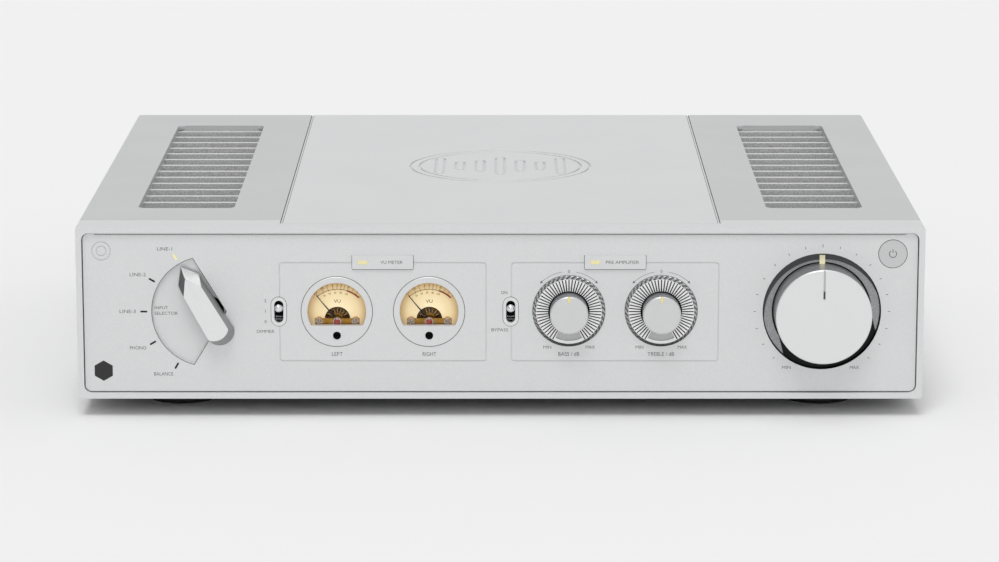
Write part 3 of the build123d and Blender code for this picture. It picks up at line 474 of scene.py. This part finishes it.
def makeLit(name, colour, edge, strength):
    # frosted acrylic over a lamp: an even glow with a faint mottle
    material, tree, shader, place = newMaterial(name, Roughness=0.4, IOR=1.49)
    mottle = addNode(tree, "ShaderNodeTexNoise", {"Scale": 900.0, "Detail": 2.0}, {"Vector": place})
    glow = addNode(tree, "ShaderNodeMix", {"data_type": "RGBA", 6: hexToLinear(edge), 7: hexToLinear(colour)},
                   {0: mottle.outputs["Fac"]}).outputs[2]
    tree.links.new(glow, shader.inputs["Base Color"])
    tree.links.new(glow, shader.inputs["Emission Color"])
    shader.inputs["Emission Strength"].default_value = strength
    return material


litAmberAcrylic = makeLit("litAmberAcrylic", "#DED9AE", "#D2C78E", 0.16)
litWarmAcrylic = makeLit("litWarmAcrylic", "#ECE9D2", "#E2D5A2", 0.22)

# input windows: only the one of the chosen input is lit
tickLook = {"radius": 32.5 * mm, "litAt": 120, "litReach": 10 * mm, "lit": "#E6DE9C", "unlit": "#0A0A0B", "glow": 0.2}


def makeSelectorWindows():
    material, tree, shader, place = newMaterial("frostedAcrylicWindows", Roughness=0.35, IOR=1.49)
    dx, dz = polar(tickLook["radius"], tickLook["litAt"])
    away = addNode(tree, "ShaderNodeVectorMath", {"operation": "DISTANCE"}, {0: place})
    away.inputs[1].default_value = (selectorAxis.x + dx, panelY, selectorAxis.z + dz)
    near = addNode(tree, "ShaderNodeMath", {"operation": "LESS_THAN", 1: tickLook["litReach"]},
                   {0: away.outputs["Value"]}).outputs[0]
    for colour, socket in ((tickLook["unlit"], "Base Color"), ("#000000", "Emission Color")):
        mix = addNode(tree, "ShaderNodeMix", {"data_type": "RGBA", 6: hexToLinear(colour),
                                              7: hexToLinear(tickLook["lit"])}, {0: near})
        tree.links.new(mix.outputs[2], shader.inputs[socket])
    shader.inputs["Emission Strength"].default_value = tickLook["glow"]
    return material


# printed dial card lit from behind: a painted pool of lamp light, cream over the lamp and browner amber towards its
# rim
dialLook = {"centre": "#EBDCB8", "middle": "#DFCA9E", "rim": "#A37C42", "glow": 0.74, "middleAbove": 3.5 * mm}


def makeDialCardWithPaintedLampPool():
    material, tree, shader, place = newMaterial("printedDialCardLampPool", Roughness=0.6, IOR=1.5)
    spots = [Vector((axis.x, 0, axis.z + dialLook["middleAbove"])) for axis in meterAxes]
    left, right = (radiusFrom(tree, place, spot)[0] for spot in spots)
    radius = addNode(tree, "ShaderNodeMath", {"operation": "MINIMUM"}, {0: left, 1: right}).outputs[0]
    share = addNode(tree, "ShaderNodeMapRange", {"From Max": 17 * mm}, {"Value": radius})
    ramp = addNode(tree, "ShaderNodeValToRGB", links={0: share.outputs[0]})
    ramp.color_ramp.elements[0].color = hexToLinear(dialLook["centre"])
    ramp.color_ramp.elements[1].color = hexToLinear(dialLook["rim"])
    ramp.color_ramp.elements.new(0.66).color = hexToLinear(dialLook["middle"])
    tree.links.new(ramp.outputs["Color"], shader.inputs["Base Color"])
    tree.links.new(ramp.outputs["Color"], shader.inputs["Emission Color"])
    shader.inputs["Emission Strength"].default_value = dialLook["glow"]
    return material


def makeLensGlass():
    # a flat clear window: it only shows by its gloss
    material, tree, shader, place = newMaterial("clearFlatGlass", IOR=1.5, Alpha=0.05)
    shader.inputs["Base Color"].default_value = hexToLinear("#050505")
    smear = addNode(tree, "ShaderNodeTexNoise", {"Scale": 60.0}, {"Vector": place})
    rough = addNode(tree, "ShaderNodeMapRange", {"To Min": 0.02, "To Max": 0.05}, {"Value": smear.outputs["Fac"]})
    tree.links.new(rough.outputs["Result"], shader.inputs["Roughness"])
    return material


nodeMaterials = {
    beadBlastedAnodisedAluminium: ("front_frame", "top_plate", "label_plates", "meter_bezels", "top_rails"),
    makePanelFinishWithShadedRecess(): ("front_panel",),
    darkerBlastedAluminium: ("left_wing", "right_wing", "power_button"),
    turnedBlastedAluminium: ("toggle_escutcheons",),
    blastedAluminiumPaintedFacets: ("selector_knob",),
    makeVolumeKnobFinishWithPaintedShade(): ("volume_knob",),
    makeToneKnobFinish(toneAxes[0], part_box("bass_knob")[0].y, "bassKnobTurnedAluminium"): ("bass_knob",),
    makeToneKnobFinish(toneAxes[1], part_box("treble_knob")[0].y, "trebleKnobTurnedAluminium"): ("treble_knob",),
    makeScaleRingFinish(): ("tone_scale_rings",),
    silverPaintedSteel: ("left_vent_grille", "right_vent_grille"),
    powderCoatedSteel: ("bottom_tray", "rear_panel", "sub_panel"),
    blackAnodisedAluminium: ("heat_sinks",),
    zincPlatedSteel: ("case_screws", "volume_shaft", "bass_shaft", "treble_shaft", "selector_shaft",
                      "board_standoffs"),
    polishedChromePlate: ("dimmer_lever", "bypass_lever"),
    mouldedBlackAbs: ("feet", "toggle_bodies", "mains_inlet", "power_transistors", "meter_housings", "power_switch",
                      "selector_switch", "tone_pots", "volume_pot", "left_needle", "right_needle"),
    mattBlackAbs: ("left_zero_screw", "right_zero_screw"),
    mouldedRubber: ("foot_pads",),
    smokedPolycarbonate: ("ir_window",),
    litWarmAcrylic: ("volume_light_pipe",),
    litAmberAcrylic: ("lamp_windows",),
    makeSelectorWindows(): ("selector_windows",),
    makeLensGlass(): ("meter_lenses",),
    makeDialCardWithPaintedLampPool(): ("meter_dials",),
    stampedBrass: ("meter_movements",),
    goldPlatedBrass: ("binding_posts", "rca_jacks"),
    glossyBlackCap: ("post_cap_1", "post_cap_2", "post_cap_3", "post_cap_4"),
    solderMask: ("amplifier_board", "preamp_board"),
    shrinkSleeve: ("capacitors",),
    polyesterWrap: ("transformer",),
}
for material, names in nodeMaterials.items():
    for name in names:
        nodes[name].data.materials.clear()
        nodes[name].data.materials.append(material)
print("materials given to", sum(len(names) for names in nodeMaterials.values()), "nodes")

# widths of the broken edges in millimetres: they catch the light along each part
brokenEdges = {"front_frame": 0.35, "top_plate": 0.3, "left_wing": 0.3, "right_wing": 0.3, "label_plates": 0.25,
               "left_vent_grille": 0.35, "right_vent_grille": 0.35, "selector_knob": 0.15, "meter_bezels": 0.2}
for name, width in brokenEdges.items():
    weld = nodes[name].modifiers.new("weld", "WELD")
    weld.merge_threshold = 0.001 * mm
    edge = nodes[name].modifiers.new("brokenEdge", "BEVEL")
    edge.width = width * mm
    edge.segments = 2
    edge.limit_method = "ANGLE"
    edge.angle_limit = math.radians(35)
    edge.harden_normals = True


# capital heights in millimetres, then line widths
printLook = {"small": 1.6, "large": 1.95, "line": 0.18 * mm, "lift": 0.01 * mm, "thickness": 0.02 * mm}


def frontZ(height):
    return caseBottom + height * mm


def makeFrontPrint():
    bm = bmesh.new()
    y = panelY - printLook["lift"]
    small, large = printLook["small"], printLook["large"]

    def words(text, x, z, width, capital=small, align="CENTER", depth=y):
        addText(bm, text, capital * mm, placeOnFront(x, depth, z), width and width * mm, align)

    # input names outside their windows: place from the selector's axis and length, in millimetres
    inputs = (("LINE-1", -21.3, 32.4, 7.6), ("LINE-2", -35.4, 19.1, 8.2), ("LINE-3", -40.8, 0.0, 8.2),
              ("PHONO", -35.9, -19.0, 8.3), ("BALANCE", -23.1, -32.6, 9.7))
    for name, dx, dz, width in inputs:
        words(name, selectorAxis.x + dx * mm, selectorAxis.z + dz * mm, width, 1.75)
    fanFloor = y + 2 * mm
    for line, dz, width in (("INPUT", 1.5, 6.8), ("SELECTOR", -1.4, 11.8)):
        words(line, selectorAxis.x - 27.4 * mm, selectorAxis.z + dz * mm, width, align="LEFT", depth=fanFloor)
    for digit, dz in (("2", 5.6), ("1", 0.1), ("0", -5.3)):
        words(digit, dimmerAxis.x - 6.8 * mm, dimmerAxis.z + dz * mm, None)
    words("DIMMER", dimmerAxis.x - 6.9 * mm, dimmerAxis.z - 10.4 * mm, 8.9)
    words("ON", bypassAxis.x - 3.3 * mm, bypassAxis.z + 9.8 * mm, 3.2)
    words("BYPASS", bypassAxis.x - 5.6 * mm, bypassAxis.z - 9.6 * mm, 8.4)
    for axis, text, width in zip(meterAxes, ("LEFT", "RIGHT"), (5.5, 6.9)):
        words(text, axis.x, frontZ(22.8), width, large)
    plateDepth = plateY - printLook["lift"]
    low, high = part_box("label_plates")
    plateZ = (low.z + high.z) / 2
    words("VU METER", low.x + 20.0 * mm, plateZ, 11.3, depth=plateDepth)
    words("PRE AMPLIFIER", high.x - 12.0 * mm, plateZ, 16.8, depth=plateDepth)
    for axis, text, width in zip(toneAxes, ("BASS / dB", "TREBLE / dB"), (10.7, 13.5)):
        words(text, axis.x, frontZ(22.8), width, large)
        words("0", axis.x, frontZ(65.8), None)
        words("MIN", axis.x - 10.9 * mm, frontZ(26.4), 4.0)
        words("MAX", axis.x + 10.9 * mm, frontZ(26.4), 4.7)
        matrix = placeOnFront(axis.x, y, axis.z)
        reach = 20.4 * mm
        for side in (-1, 1):
            start, end = 90 - side * 10, 90 - side * 42
            addPrism(bm, arcBand(reach, printLook["line"], start, end, 20), printLook["thickness"], matrix)
            tip = [polar(reach, end - side * 4), polar(reach - 0.7 * mm, end), polar(reach + 0.7 * mm, end)]
            if side > 0:
                tip.reverse()
            addPrism(bm, tip, printLook["thickness"], matrix)
    # volume scale: a mark every 15 degrees
    matrix = placeOnFront(volumeAxis.x, y, volumeAxis.z)
    for i in range(-9, 10):
        turn = matrix @ Matrix.Rotation(math.radians(90 - 15 * i), 4, "Z")
        length = (1.7 if i == 0 else 1.2) * mm
        addPrism(bm, bar(length, 0.3 * mm), printLook["thickness"], turn @ Matrix.Translation((34.1 * mm, 0, 0)))
    words("MIN", volumeAxis.x - 17.6 * mm, volumeAxis.z - 29.2 * mm, 4.4)
    words("MAX", volumeAxis.x + 17.0 * mm, volumeAxis.z - 29.2 * mm, 4.7)
    return finishMesh(bm, "frontPrint", "chassis", screenPrintedInk)


makeFrontPrint()

# dial scale: share of the sweep and the number at each mark
dialScale = {"radius": 15.7 * mm, "start": 129.7, "end": 46.0, "redFrom": 0.70,
             "marks": ((0, "20"), (0.16, "10"), (0.27, "7"), (0.38, "5"), (0.47, "3"), (0.55, "2"), (0.62, "1"),
                       (0.70, "0"), (0.80, "1"), (0.90, "2"), (1.0, "3"))}
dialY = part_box("meter_dials")[0].y


def makeDialPrint(axis, name):
    bm = bmesh.new()
    matrix = placeOnFront(axis.x, dialY - 0.02 * mm, axis.z)
    start, end, radius = dialScale["start"], dialScale["end"], dialScale["radius"]
    lift = 0.03 * mm
    red = bmesh.new()
    addPrism(bm, arcBand(radius, 0.22 * mm, end, start, 48), lift, matrix)
    for share, number in dialScale["marks"]:
        turn = matrix @ Matrix.Rotation(math.radians(start + (end - start) * share), 4, "Z")
        target = red if share > dialScale["redFrom"] else bm
        addPrism(target, bar(1.3 * mm, 0.18 * mm), lift, turn @ Matrix.Translation((radius + 0.6 * mm, 0, 0)))
        upright = turn @ Matrix.Translation((radius + 2.1 * mm, 0, 0)) @ Matrix.Rotation(math.radians(-90), 4, "Z")
        addText(target, number, 1.3 * mm, upright)
    for i, number in enumerate(("0", "20", "40", "60", "80", "100")):
        turn = matrix @ Matrix.Rotation(math.radians(start + (end - start) * i * 0.14), 4, "Z")
        addPrism(bm, bar(0.7 * mm, 0.16 * mm), lift, turn @ Matrix.Translation((radius - 0.4 * mm, 0, 0)))
        upright = turn @ Matrix.Translation((radius - 1.8 * mm, 0, 0)) @ Matrix.Rotation(math.radians(-90), 4, "Z")
        addText(bm, number, 0.9 * mm, upright)
    addText(bm, "VU", 1.7 * mm, matrix @ Matrix.Translation((0, 9.4 * mm, 0)), 3.4 * mm)
    finishMesh(bm, name, "chassis", dialInk)
    middle = start + (end - start) * dialScale["redFrom"]
    addPrism(red, arcBand(radius, 0.75 * mm, end, middle, 24), lift * 1.5, matrix)
    finishMesh(red, name + "Red", "chassis", dialRedInk)


for axis, side in zip(meterAxes, ("left", "right")):
    makeDialPrint(axis, side + "DialPrint")
print("front print and dials made")

# under the lens, in millimetres: bearing jewel, screws on the bridge, coil and magnet in the round opening
movementLook = {"jewel": 1.65, "jewelRing": 2.1, "screw": 1.5, "screwSpread": 9.3, "coil": 3.4, "spokes": 9}
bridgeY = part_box("meter_movements")[0].y


def makeMovementDetails(axis, name):
    gem = bmesh.new()
    at = placeOnFront(axis.x, bridgeY - 0.1 * mm, axis.z - 0.2 * mm)
    r = movementLook["jewel"] * mm
    lathe(gem, [(0, 0.5 * mm), (0.6 * r, 0.4 * mm), (r, 0), (r, -0.5 * mm), (0, -0.5 * mm)], at, 32, closed=False)
    finishMesh(gem, name + "Jewel", "chassis", rubyGlass)
    collar = bmesh.new()
    big = movementLook["jewelRing"] * mm
    lathe(collar, [(r, 0.1 * mm), (big, 0), (big, -0.5 * mm), (r, -0.5 * mm)], at, 32)
    for side in (-1, 1):
        spot = placeOnFront(axis.x + side * movementLook["screwSpread"] * mm, bridgeY - 0.02 * mm, axis.z - 0.3 * mm)
        s = movementLook["screw"] * mm
        for turn in (0, 90):
            slot = spot @ Matrix.Rotation(math.radians(turn + 20 * side), 4, "Z")
            addPrism(collar, bar(1.9 * s, 0.5 * mm), 0.25 * mm, slot)
        lathe(collar, [(s, 0.15 * mm), (1.25 * s, 0), (1.25 * s, -0.3 * mm), (s, -0.3 * mm)], spot, 28)
    finishMesh(collar, name + "BridgeScrews", "chassis", zincPlatedSteel)
    coil = bmesh.new()
    low = placeOnFront(axis.x, dialY - 0.01 * mm, axis.z)
    lathe(coil, [(1.5 * mm, 0.4 * mm), (movementLook["coil"] * mm, 0.4 * mm), (movementLook["coil"] * mm, 0),
                 (1.5 * mm, 0)], low, 40)
    count = movementLook["spokes"]
    for i in range(count):
        spoke = low @ Matrix.Rotation(math.radians(15 + 150 * i / (count - 1)), 4, "Z")
        addPrism(coil, bar(2.2 * mm, 0.5 * mm), 0.3 * mm, spoke @ Matrix.Translation((4.7 * mm, 0, 0)))
    finishMesh(coil, name + "Coil", "chassis", stampedBrass)
    # a thin dark disc in the round opening: it stands for the lacquered magnet and, as painted shade, for the dark
    # round it behind the coil
    gap = bmesh.new()
    lathe(gap, [(0, 0.05 * mm), (5.9 * mm, 0.05 * mm), (5.9 * mm, 0), (0, 0)], low, 48, closed=False)
    finishMesh(gap, name + "MagnetGap", "chassis", umberLacquer)


for axis, side in zip(meterAxes, ("left", "right")):
    makeMovementDetails(axis, side)


# diamond knurl on the sloping rim of each scale ring, in millimetres and degrees
knurlLook = {"outer": 18.25, "inner": 16.75, "rise": 1.5, "teeth": 84, "rows": 6, "height": 0.22,
             "low": "#2E2F30", "high": "#C4C5C6", "darkBelow": -15, "brightAbove": 2, "ragged": 8}


def makeKnurlPaintedReflection():
    # polished knurl with a painted reflection: darker towards the bottom and brighter towards the top, as if
    # mirroring the bright room above and the dark gap below
    material, tree, shader, place = newMaterial("knurledAluminiumPaintedReflection", Metallic=1.0, Roughness=0.3)
    parts = addNode(tree, "ShaderNodeSeparateXYZ", links={0: place})
    grain = addNode(tree, "ShaderNodeTexNoise", {"Scale": 1 / (0.6 * mm), "Detail": 2.0}, {"Vector": place})
    height = addNode(tree, "ShaderNodeMath", {"operation": "MULTIPLY_ADD", 1: knurlLook["ragged"] * mm},
                     {0: grain.outputs["Fac"], 2: parts.outputs["Z"]})
    share = addNode(tree, "ShaderNodeMapRange",
                    {"From Min": toneAxes[0].z + knurlLook["darkBelow"] * mm,
                     "From Max": toneAxes[0].z + knurlLook["brightAbove"] * mm},
                    {"Value": height.outputs[0]}).outputs[0]
    mix = addNode(tree, "ShaderNodeMix", {"data_type": "RGBA", 6: hexToLinear(knurlLook["low"]),
                                          7: hexToLinear(knurlLook["high"])}, {0: share})
    tree.links.new(mix.outputs[2], shader.inputs["Base Color"])
    return material


knurledAluminiumPaintedReflection = makeKnurlPaintedReflection()


def makeKnurl(axis, name):
    bm = bmesh.new()
    matrix = placeOnFront(axis.x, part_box("tone_scale_rings")[0].y, axis.z)
    rows, count = knurlLook["rows"], knurlLook["teeth"] * 2
    rings = []
    for j in range(rows + 1):
        share = j / rows
        radius = knurlLook["inner"] + (knurlLook["outer"] - knurlLook["inner"]) * share
        height = 0.06 - knurlLook["rise"] * share
        ring = []
        for i in range(count):
            raised = knurlLook["height"] if (i + j) % 2 and 0 < j < rows else 0.02
            x, y = polar((radius + 0.7 * raised) * mm, 360 * (i + 0.5 * j) / count)
            ring.append(bm.verts.new(matrix @ Vector((x, y, min(height + 0.7 * raised, 0.06) * mm))))
        rings.append(ring)
    for row, (a, b) in enumerate(zip(rings, rings[1:])):
        for i in range(count):
            j = (i + 1) % count
            face = bm.faces.new((a[i], b[i], b[j], a[j]))
            # every other block of faces takes shadowGap: painted shade in the valleys of the knurl
            face.material_index = (i // 2 + row // 2) % 2
    piece = finishMesh(bm, name, "chassis", knurledAluminiumPaintedReflection)
    piece.data.materials.append(shadowGap)


for axis, side in zip(toneAxes, ("bass", "treble")):
    makeKnurl(axis, side + "Knurl")
print("movements and knurls made")

# painted shade along the hairline gaps round the inset parts, in millimetres: it reads as fine dark outlines
seamLook = {"wide": 0.3, "fine": 0.22, "thickness": 0.03, "drop": 0.3, "corner": 6.0,
            "plateWidth": 31.0, "grooveWidth": 1.5, "lipAngle": 12}
# recess of the input selector: an arc round the axis, and two straight sides that meet at the apex
fanLook = {"radius": 28.6, "apex": 9.4, "angle": 121.2, "line": 0.25}


def capsule(half, reach, count=24):
    # an upright slot outline: half its width, and how far each end circle lies from the middle
    upper = [(x, y + reach) for x, y in (polar(half, 180 * i / count) for i in range(count + 1))]
    return upper + [(-x, -y) for x, y in upper]


def makeSeamShade():
    bm = bmesh.new()
    thick = seamLook["thickness"] * mm
    y = panelY - 0.01 * mm
    low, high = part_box("power_button")
    matrix = placeOnFront((low.x + high.x) / 2, y, (low.z + high.z) / 2)
    addRing(bm, (high.x - low.x) / 2, seamLook["wide"] * mm, matrix)
    for axis in toneAxes:
        addRing(bm, knurlLook["outer"] * mm, seamLook["wide"] * mm, placeOnFront(axis.x, y, axis.z))
    low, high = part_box("toggle_escutcheons")
    tall = high.z - low.z
    for axis, side in ((dimmerAxis, 1), (bypassAxis, -1)):
        half = abs((low.x if side > 0 else high.x) - axis.x)
        middle = (low.z + high.z) / 2
        matrix = placeOnFront(axis.x, y, middle)
        outer = capsule(half + seamLook["fine"] * mm, tall / 2 - half)
        inner = capsule(half, tall / 2 - half)
        addBand(bm, outer, inner, thick, matrix)
    low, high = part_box("meter_bezels")
    for axis in meterAxes:
        at = placeOnFront(axis.x, y, (low.z + high.z) / 2)
        addRing(bm, (high.z - low.z) / 2, seamLook["fine"] * mm, at)
    addFanSeam(bm, y, thick)
    # painted shadow under and beside each label plate
    low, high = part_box("label_plates")
    wide, tall = seamLook["plateWidth"] * mm, high.z - low.z
    for x in (low.x + wide / 2, high.x - wide / 2):
        at = placeOnFront(x, y, (low.z + high.z) / 2)
        line = seamLook["fine"] * mm
        below = Matrix.Translation((0, -(tall + line) / 2 - seamLook["drop"] * mm, 0))
        addPrism(bm, bar(wide, line), thick, at @ below)
        for side in (-1, 1):
            addPrism(bm, bar(line, tall), thick, at @ Matrix.Translation((side * (wide + line) / 2, 0, 0)))
    # painted shadow: the line of shade under the upper lip of the frame
    low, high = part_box("front_panel")
    lipDrop = (panelY - frameLow.y) * math.tan(math.radians(seamLook["lipAngle"])) + seamLook["wide"] / 2 * mm
    at = placeOnFront((low.x + high.x) / 2, y, high.z - lipDrop)
    addPrism(bm, bar(high.x - low.x - 2 * seamLook["corner"] * mm, seamLook["wide"] * mm), thick, at)
    return finishMesh(bm, "frontSeamShade", "chassis", shadowGap)


def addFanSeam(bm, y, thick):
    # painted shade along the edge of the selector's recess
    at = placeOnFront(selectorAxis.x, y, selectorAxis.z)
    radius, apex, width = fanLook["radius"] * mm, fanLook["apex"] * mm, fanLook["line"] * mm
    dx, dz = polar(1.0, fanLook["angle"])
    reach = -apex * dx + math.sqrt((apex * dx) ** 2 + radius ** 2 - apex ** 2)
    end = math.degrees(math.atan2(reach * dz, apex + reach * dx))
    addPrism(bm, arcBand(radius, width, end, 360 - end, 90), thick, at)
    for sign in (-1, 1):
        turn = Matrix.Rotation(sign * math.radians(fanLook["angle"]), 4, "Z")
        side = Matrix.Translation((apex, 0, 0)) @ turn @ Matrix.Translation((reach / 2, 0, 0))
        addPrism(bm, bar(reach, width), thick, at @ side)


def makeTopSeamShade():
    # painted shade: fine dark lines on both sides of the strip in each groove, and along the front of the centre
    # plate
    bm = bmesh.new()
    low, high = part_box("top_plate")
    thick, line = seamLook["thickness"] * mm, seamLook["wide"] * mm
    z = caseTop - 0.35 * mm
    length = high.y - low.y
    groove = seamLook["grooveWidth"] * mm
    for side, edge in ((-1, low.x), (1, high.x)):
        for offset in (line / 2, groove - line / 2):
            at = Matrix.Translation((edge + side * offset, (low.y + high.y) / 2, z))
            addPrism(bm, bar(line, length), thick, at)
    at = Matrix.Translation(((low.x + high.x) / 2, low.y - line / 2, caseTop - 0.1 * mm))
    addPrism(bm, bar(high.x - low.x, line), thick, at)
    return finishMesh(bm, "topSeamShade", "chassis", shadowGap)


def addBand(bm, outer, inner, thickness, matrix):
    # a closed flat band between two outlines of the same number of points
    rings = [[bm.verts.new(matrix @ Vector((x, y, z))) for x, y in outline]
             for outline, z in ((inner, 0), (outer, 0), (outer, thickness), (inner, thickness))]
    for a, b in zip(rings, rings[1:] + rings[:1]):
        for i in range(len(a)):
            j = (i + 1) % len(a)
            bm.faces.new((a[i], a[j], b[j], b[i]))


def addRing(bm, radius, width, matrix):
    outer = [polar(radius + width, 3.75 * i) for i in range(96)]
    inner = [polar(radius, 3.75 * i) for i in range(96)]
    addBand(bm, outer, inner, seamLook["thickness"] * mm, matrix)


makeSeamShade()
makeTopSeamShade()

# lengths in millimetres: pale line and dark dash of the volume knob, yellow mark of the tone knobs
pointerLook = {"line": 10.4, "dash": 4.0, "width": 0.95, "mark": 3.1}


def makePointers():
    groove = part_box("volume_knob")[0].y + 0.4 * mm
    at = placeOnFront(volumeAxis.x, groove, volumeAxis.z)
    line, dash, width = pointerLook["line"] * mm, pointerLook["dash"] * mm, pointerLook["width"] * mm
    start = 9.3 * mm
    pale = bmesh.new()
    addPrism(pale, bar(width, line), 0.15 * mm, at @ Matrix.Translation((0, start + dash + line / 2, 0)))
    finishMesh(pale, "volumePointer", "volume", greyEnamel)
    dark = bmesh.new()
    addPrism(dark, bar(width, dash), 0.15 * mm, at @ Matrix.Translation((0, start + dash / 2, 0)))
    finishMesh(dark, "volumePointerDash", "volume", darkEnamel)
    for axis, body in zip(toneAxes, ("bass", "treble")):
        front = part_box(body + "_knob")[0].y
        yellow = bmesh.new()
        matrix = placeOnFront(axis.x, front + 0.6 * mm, axis.z)
        mark = pointerLook["mark"] * mm
        addPrism(yellow, bar(1.0 * mm, mark), 0.5 * mm, matrix @ Matrix.Translation((0, 9.6 * mm - mark / 2, 0)))
        finishMesh(yellow, body + "Pointer", body, yellowEnamel)


makePointers()

# flush strip let into the groove in the top of the selector bar, in millimetres and degrees
stripLook = {"turn": 120, "groove": 0.4, "middle": 13.5, "length": 8.96, "width": 0.96, "depth": 0.39}


def makeSelectorStrip():
    bm = bmesh.new()
    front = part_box("selector_knob")[0].y
    at = placeOnFront(selectorAxis.x, front + stripLook["groove"] * mm, selectorAxis.z,
                      math.radians(stripLook["turn"]))
    addPrism(bm, bar(stripLook["length"] * mm, stripLook["width"] * mm), stripLook["depth"] * mm,
             at @ Matrix.Translation((stripLook["middle"] * mm, 0, 0)))
    finishMesh(bm, "selectorStrip", "selector", blastedAluminiumPaintedFacets)


makeSelectorStrip()


def makePowerIcon():
    # broken ring with a bar, printed on the button
    bm = bmesh.new()
    low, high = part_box("power_button")
    matrix = placeOnFront((low.x + high.x) / 2, low.y - 0.01 * mm, (low.z + high.z) / 2)
    addPrism(bm, arcBand(1.8 * mm, 0.32 * mm, 125, 415, 40), 0.02 * mm, matrix)
    addPrism(bm, bar(0.32 * mm, 1.9 * mm), 0.02 * mm, matrix @ Matrix.Translation((0, 1.5 * mm, 0)))
    finishMesh(bm, "powerIcon", "power", darkEnamel)


makePowerIcon()


def makeSwitchGuides():
    # dark rounded guide at the bottom of each toggle slot, clear of the lever
    bm = bmesh.new()
    for axis in (dimmerAxis, bypassAxis):
        for row in range(2):
            at = Matrix.Translation((axis.x, panelY + (3.2 + 0.8 * row) * mm, axis.z - (4.5 - 1.1 * row) * mm))
            lathe(bm, [(0, -1.9 * mm), (0.6 * mm, -1.9 * mm), (0.6 * mm, 1.9 * mm), (0, 1.9 * mm)],
                  at @ Matrix.Rotation(math.radians(90), 4, "Y"), 24, closed=False)
    finishMesh(bm, "switchGuides", "chassis", darkChromePlate)


makeSwitchGuides()


def makeRearDetails():
    turnBack = Matrix.Rotation(math.radians(180), 4, "Z") @ Matrix.Rotation(math.radians(90), 4, "X")
    for i in (1, 3):
        axis = jointPlace(f"cap_{i}_turn")
        red = bmesh.new()
        at = Matrix.Translation((axis.x, rearY + 17.0 * mm, axis.z)) @ turnBack
        lathe(red, [(8.0 * mm, 0), (8.25 * mm, 0), (8.25 * mm, 2 * mm), (8.0 * mm, 2 * mm)], at, 64)
        finishMesh(red, f"capBand{i}", f"cap_{i}", redCollar)
    white = bmesh.new()
    low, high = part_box("rca_jacks")
    flange, columns = 6.6 * mm, 5
    for i in range(columns):
        x = low.x + flange + i * (high.x - low.x - 2 * flange) / (columns - 1)
        for z in (low.z + flange, high.z - flange):
            at = Matrix.Translation((x, rearY + 2 * mm, z)) @ turnBack
            lathe(white, [(4.2 * mm, 0), (6.0 * mm, 0), (5.8 * mm, 0.8 * mm), (4.2 * mm, 0.8 * mm)], at, 48)
    finishMesh(white, "jackInsulators", "chassis", whiteInsulator)


makeRearDetails()
print("rear details made")

studioLook = {"floor": "#ECECEC", "horizon": 0.92, "zenith": 0.62, "leftShade": 0.6, "sun": 1.35,
              "sunFrom": (-0.08, -0.50, 0.85), "sunSpread": 26.0}


def makeFloor():
    bm = bmesh.new()
    for x, y in ((-40, -40), (40, -40), (40, 40), (-40, 40)):
        bm.verts.new((x, y, 0))
    bm.faces.new(bm.verts)
    mesh = bpy.data.meshes.new("paleFloor")
    bm.to_mesh(mesh)
    bm.free()
    # painted studio floor: matt, so it shows nothing but the soft shadow
    material, tree, shader, place = newMaterial("paintedStudioFloor", Roughness=0.9)
    shader.inputs["Base Color"].default_value = hexToLinear(studioLook["floor"])
    shader.inputs["Specular IOR Level"].default_value = 0.1
    mesh.materials.append(material)
    floor = bpy.data.objects.new("paleFloor", mesh)
    bpy.context.scene.collection.objects.link(floor)


def makeLight():
    # pale walls, a darker ceiling and a dark wall on the left
    world = bpy.data.worlds.new("softStudio")
    bpy.context.scene.world = world
    world.use_nodes = True
    tree = world.node_tree
    background = tree.nodes["Background"]
    direction = addNode(tree, "ShaderNodeTexCoord").outputs["Generated"]
    axes = addNode(tree, "ShaderNodeSeparateXYZ", links={0: direction})
    height = addNode(tree, "ShaderNodeMapRange",
                     {"To Min": studioLook["horizon"], "To Max": studioLook["zenith"]}, {"Value": axes.outputs["Z"]})
    side = addNode(tree, "ShaderNodeMapRange",
                   {"From Min": -1.0, "From Max": -0.35, "To Min": studioLook["leftShade"], "To Max": 1.0},
                   {"Value": axes.outputs["X"]})
    level = addNode(tree, "ShaderNodeMath", {"operation": "MULTIPLY"},
                    {0: height.outputs["Result"], 1: side.outputs["Result"]})
    tree.links.new(level.outputs[0], background.inputs["Color"])
    # one broad lamp above, in front and to the left
    lamp = bpy.data.lights.new("softLamp", "SUN")
    lamp.energy = studioLook["sun"]
    lamp.angle = math.radians(studioLook["sunSpread"])
    holder = bpy.data.objects.new("softLamp", lamp)
    holder.rotation_euler = (-Vector(studioLook["sunFrom"])).to_track_quat("-Z", "Y").to_euler()
    bpy.context.scene.collection.objects.link(holder)


cameraLook = {"place": (-0.00038, -2.07746, 0.46845), "pitch": 11.822, "lens": 137.873}


def makeCamera():
    camera = bpy.data.cameras.new("camera")
    camera.lens = cameraLook["lens"]
    camera.sensor_width = 36.0
    camera.clip_start = 0.05
    camera.clip_end = 60.0
    holder = bpy.data.objects.new("camera", camera)
    holder.location = cameraLook["place"]
    holder.rotation_euler = (math.radians(90 - cameraLook["pitch"]), 0, 0)
    bpy.context.scene.collection.objects.link(holder)
    bpy.context.scene.camera = holder


makeFloor()
makeLight()
makeCamera()
bpy.context.scene.view_settings.view_transform = "Standard"
print("floor, light and camera made")
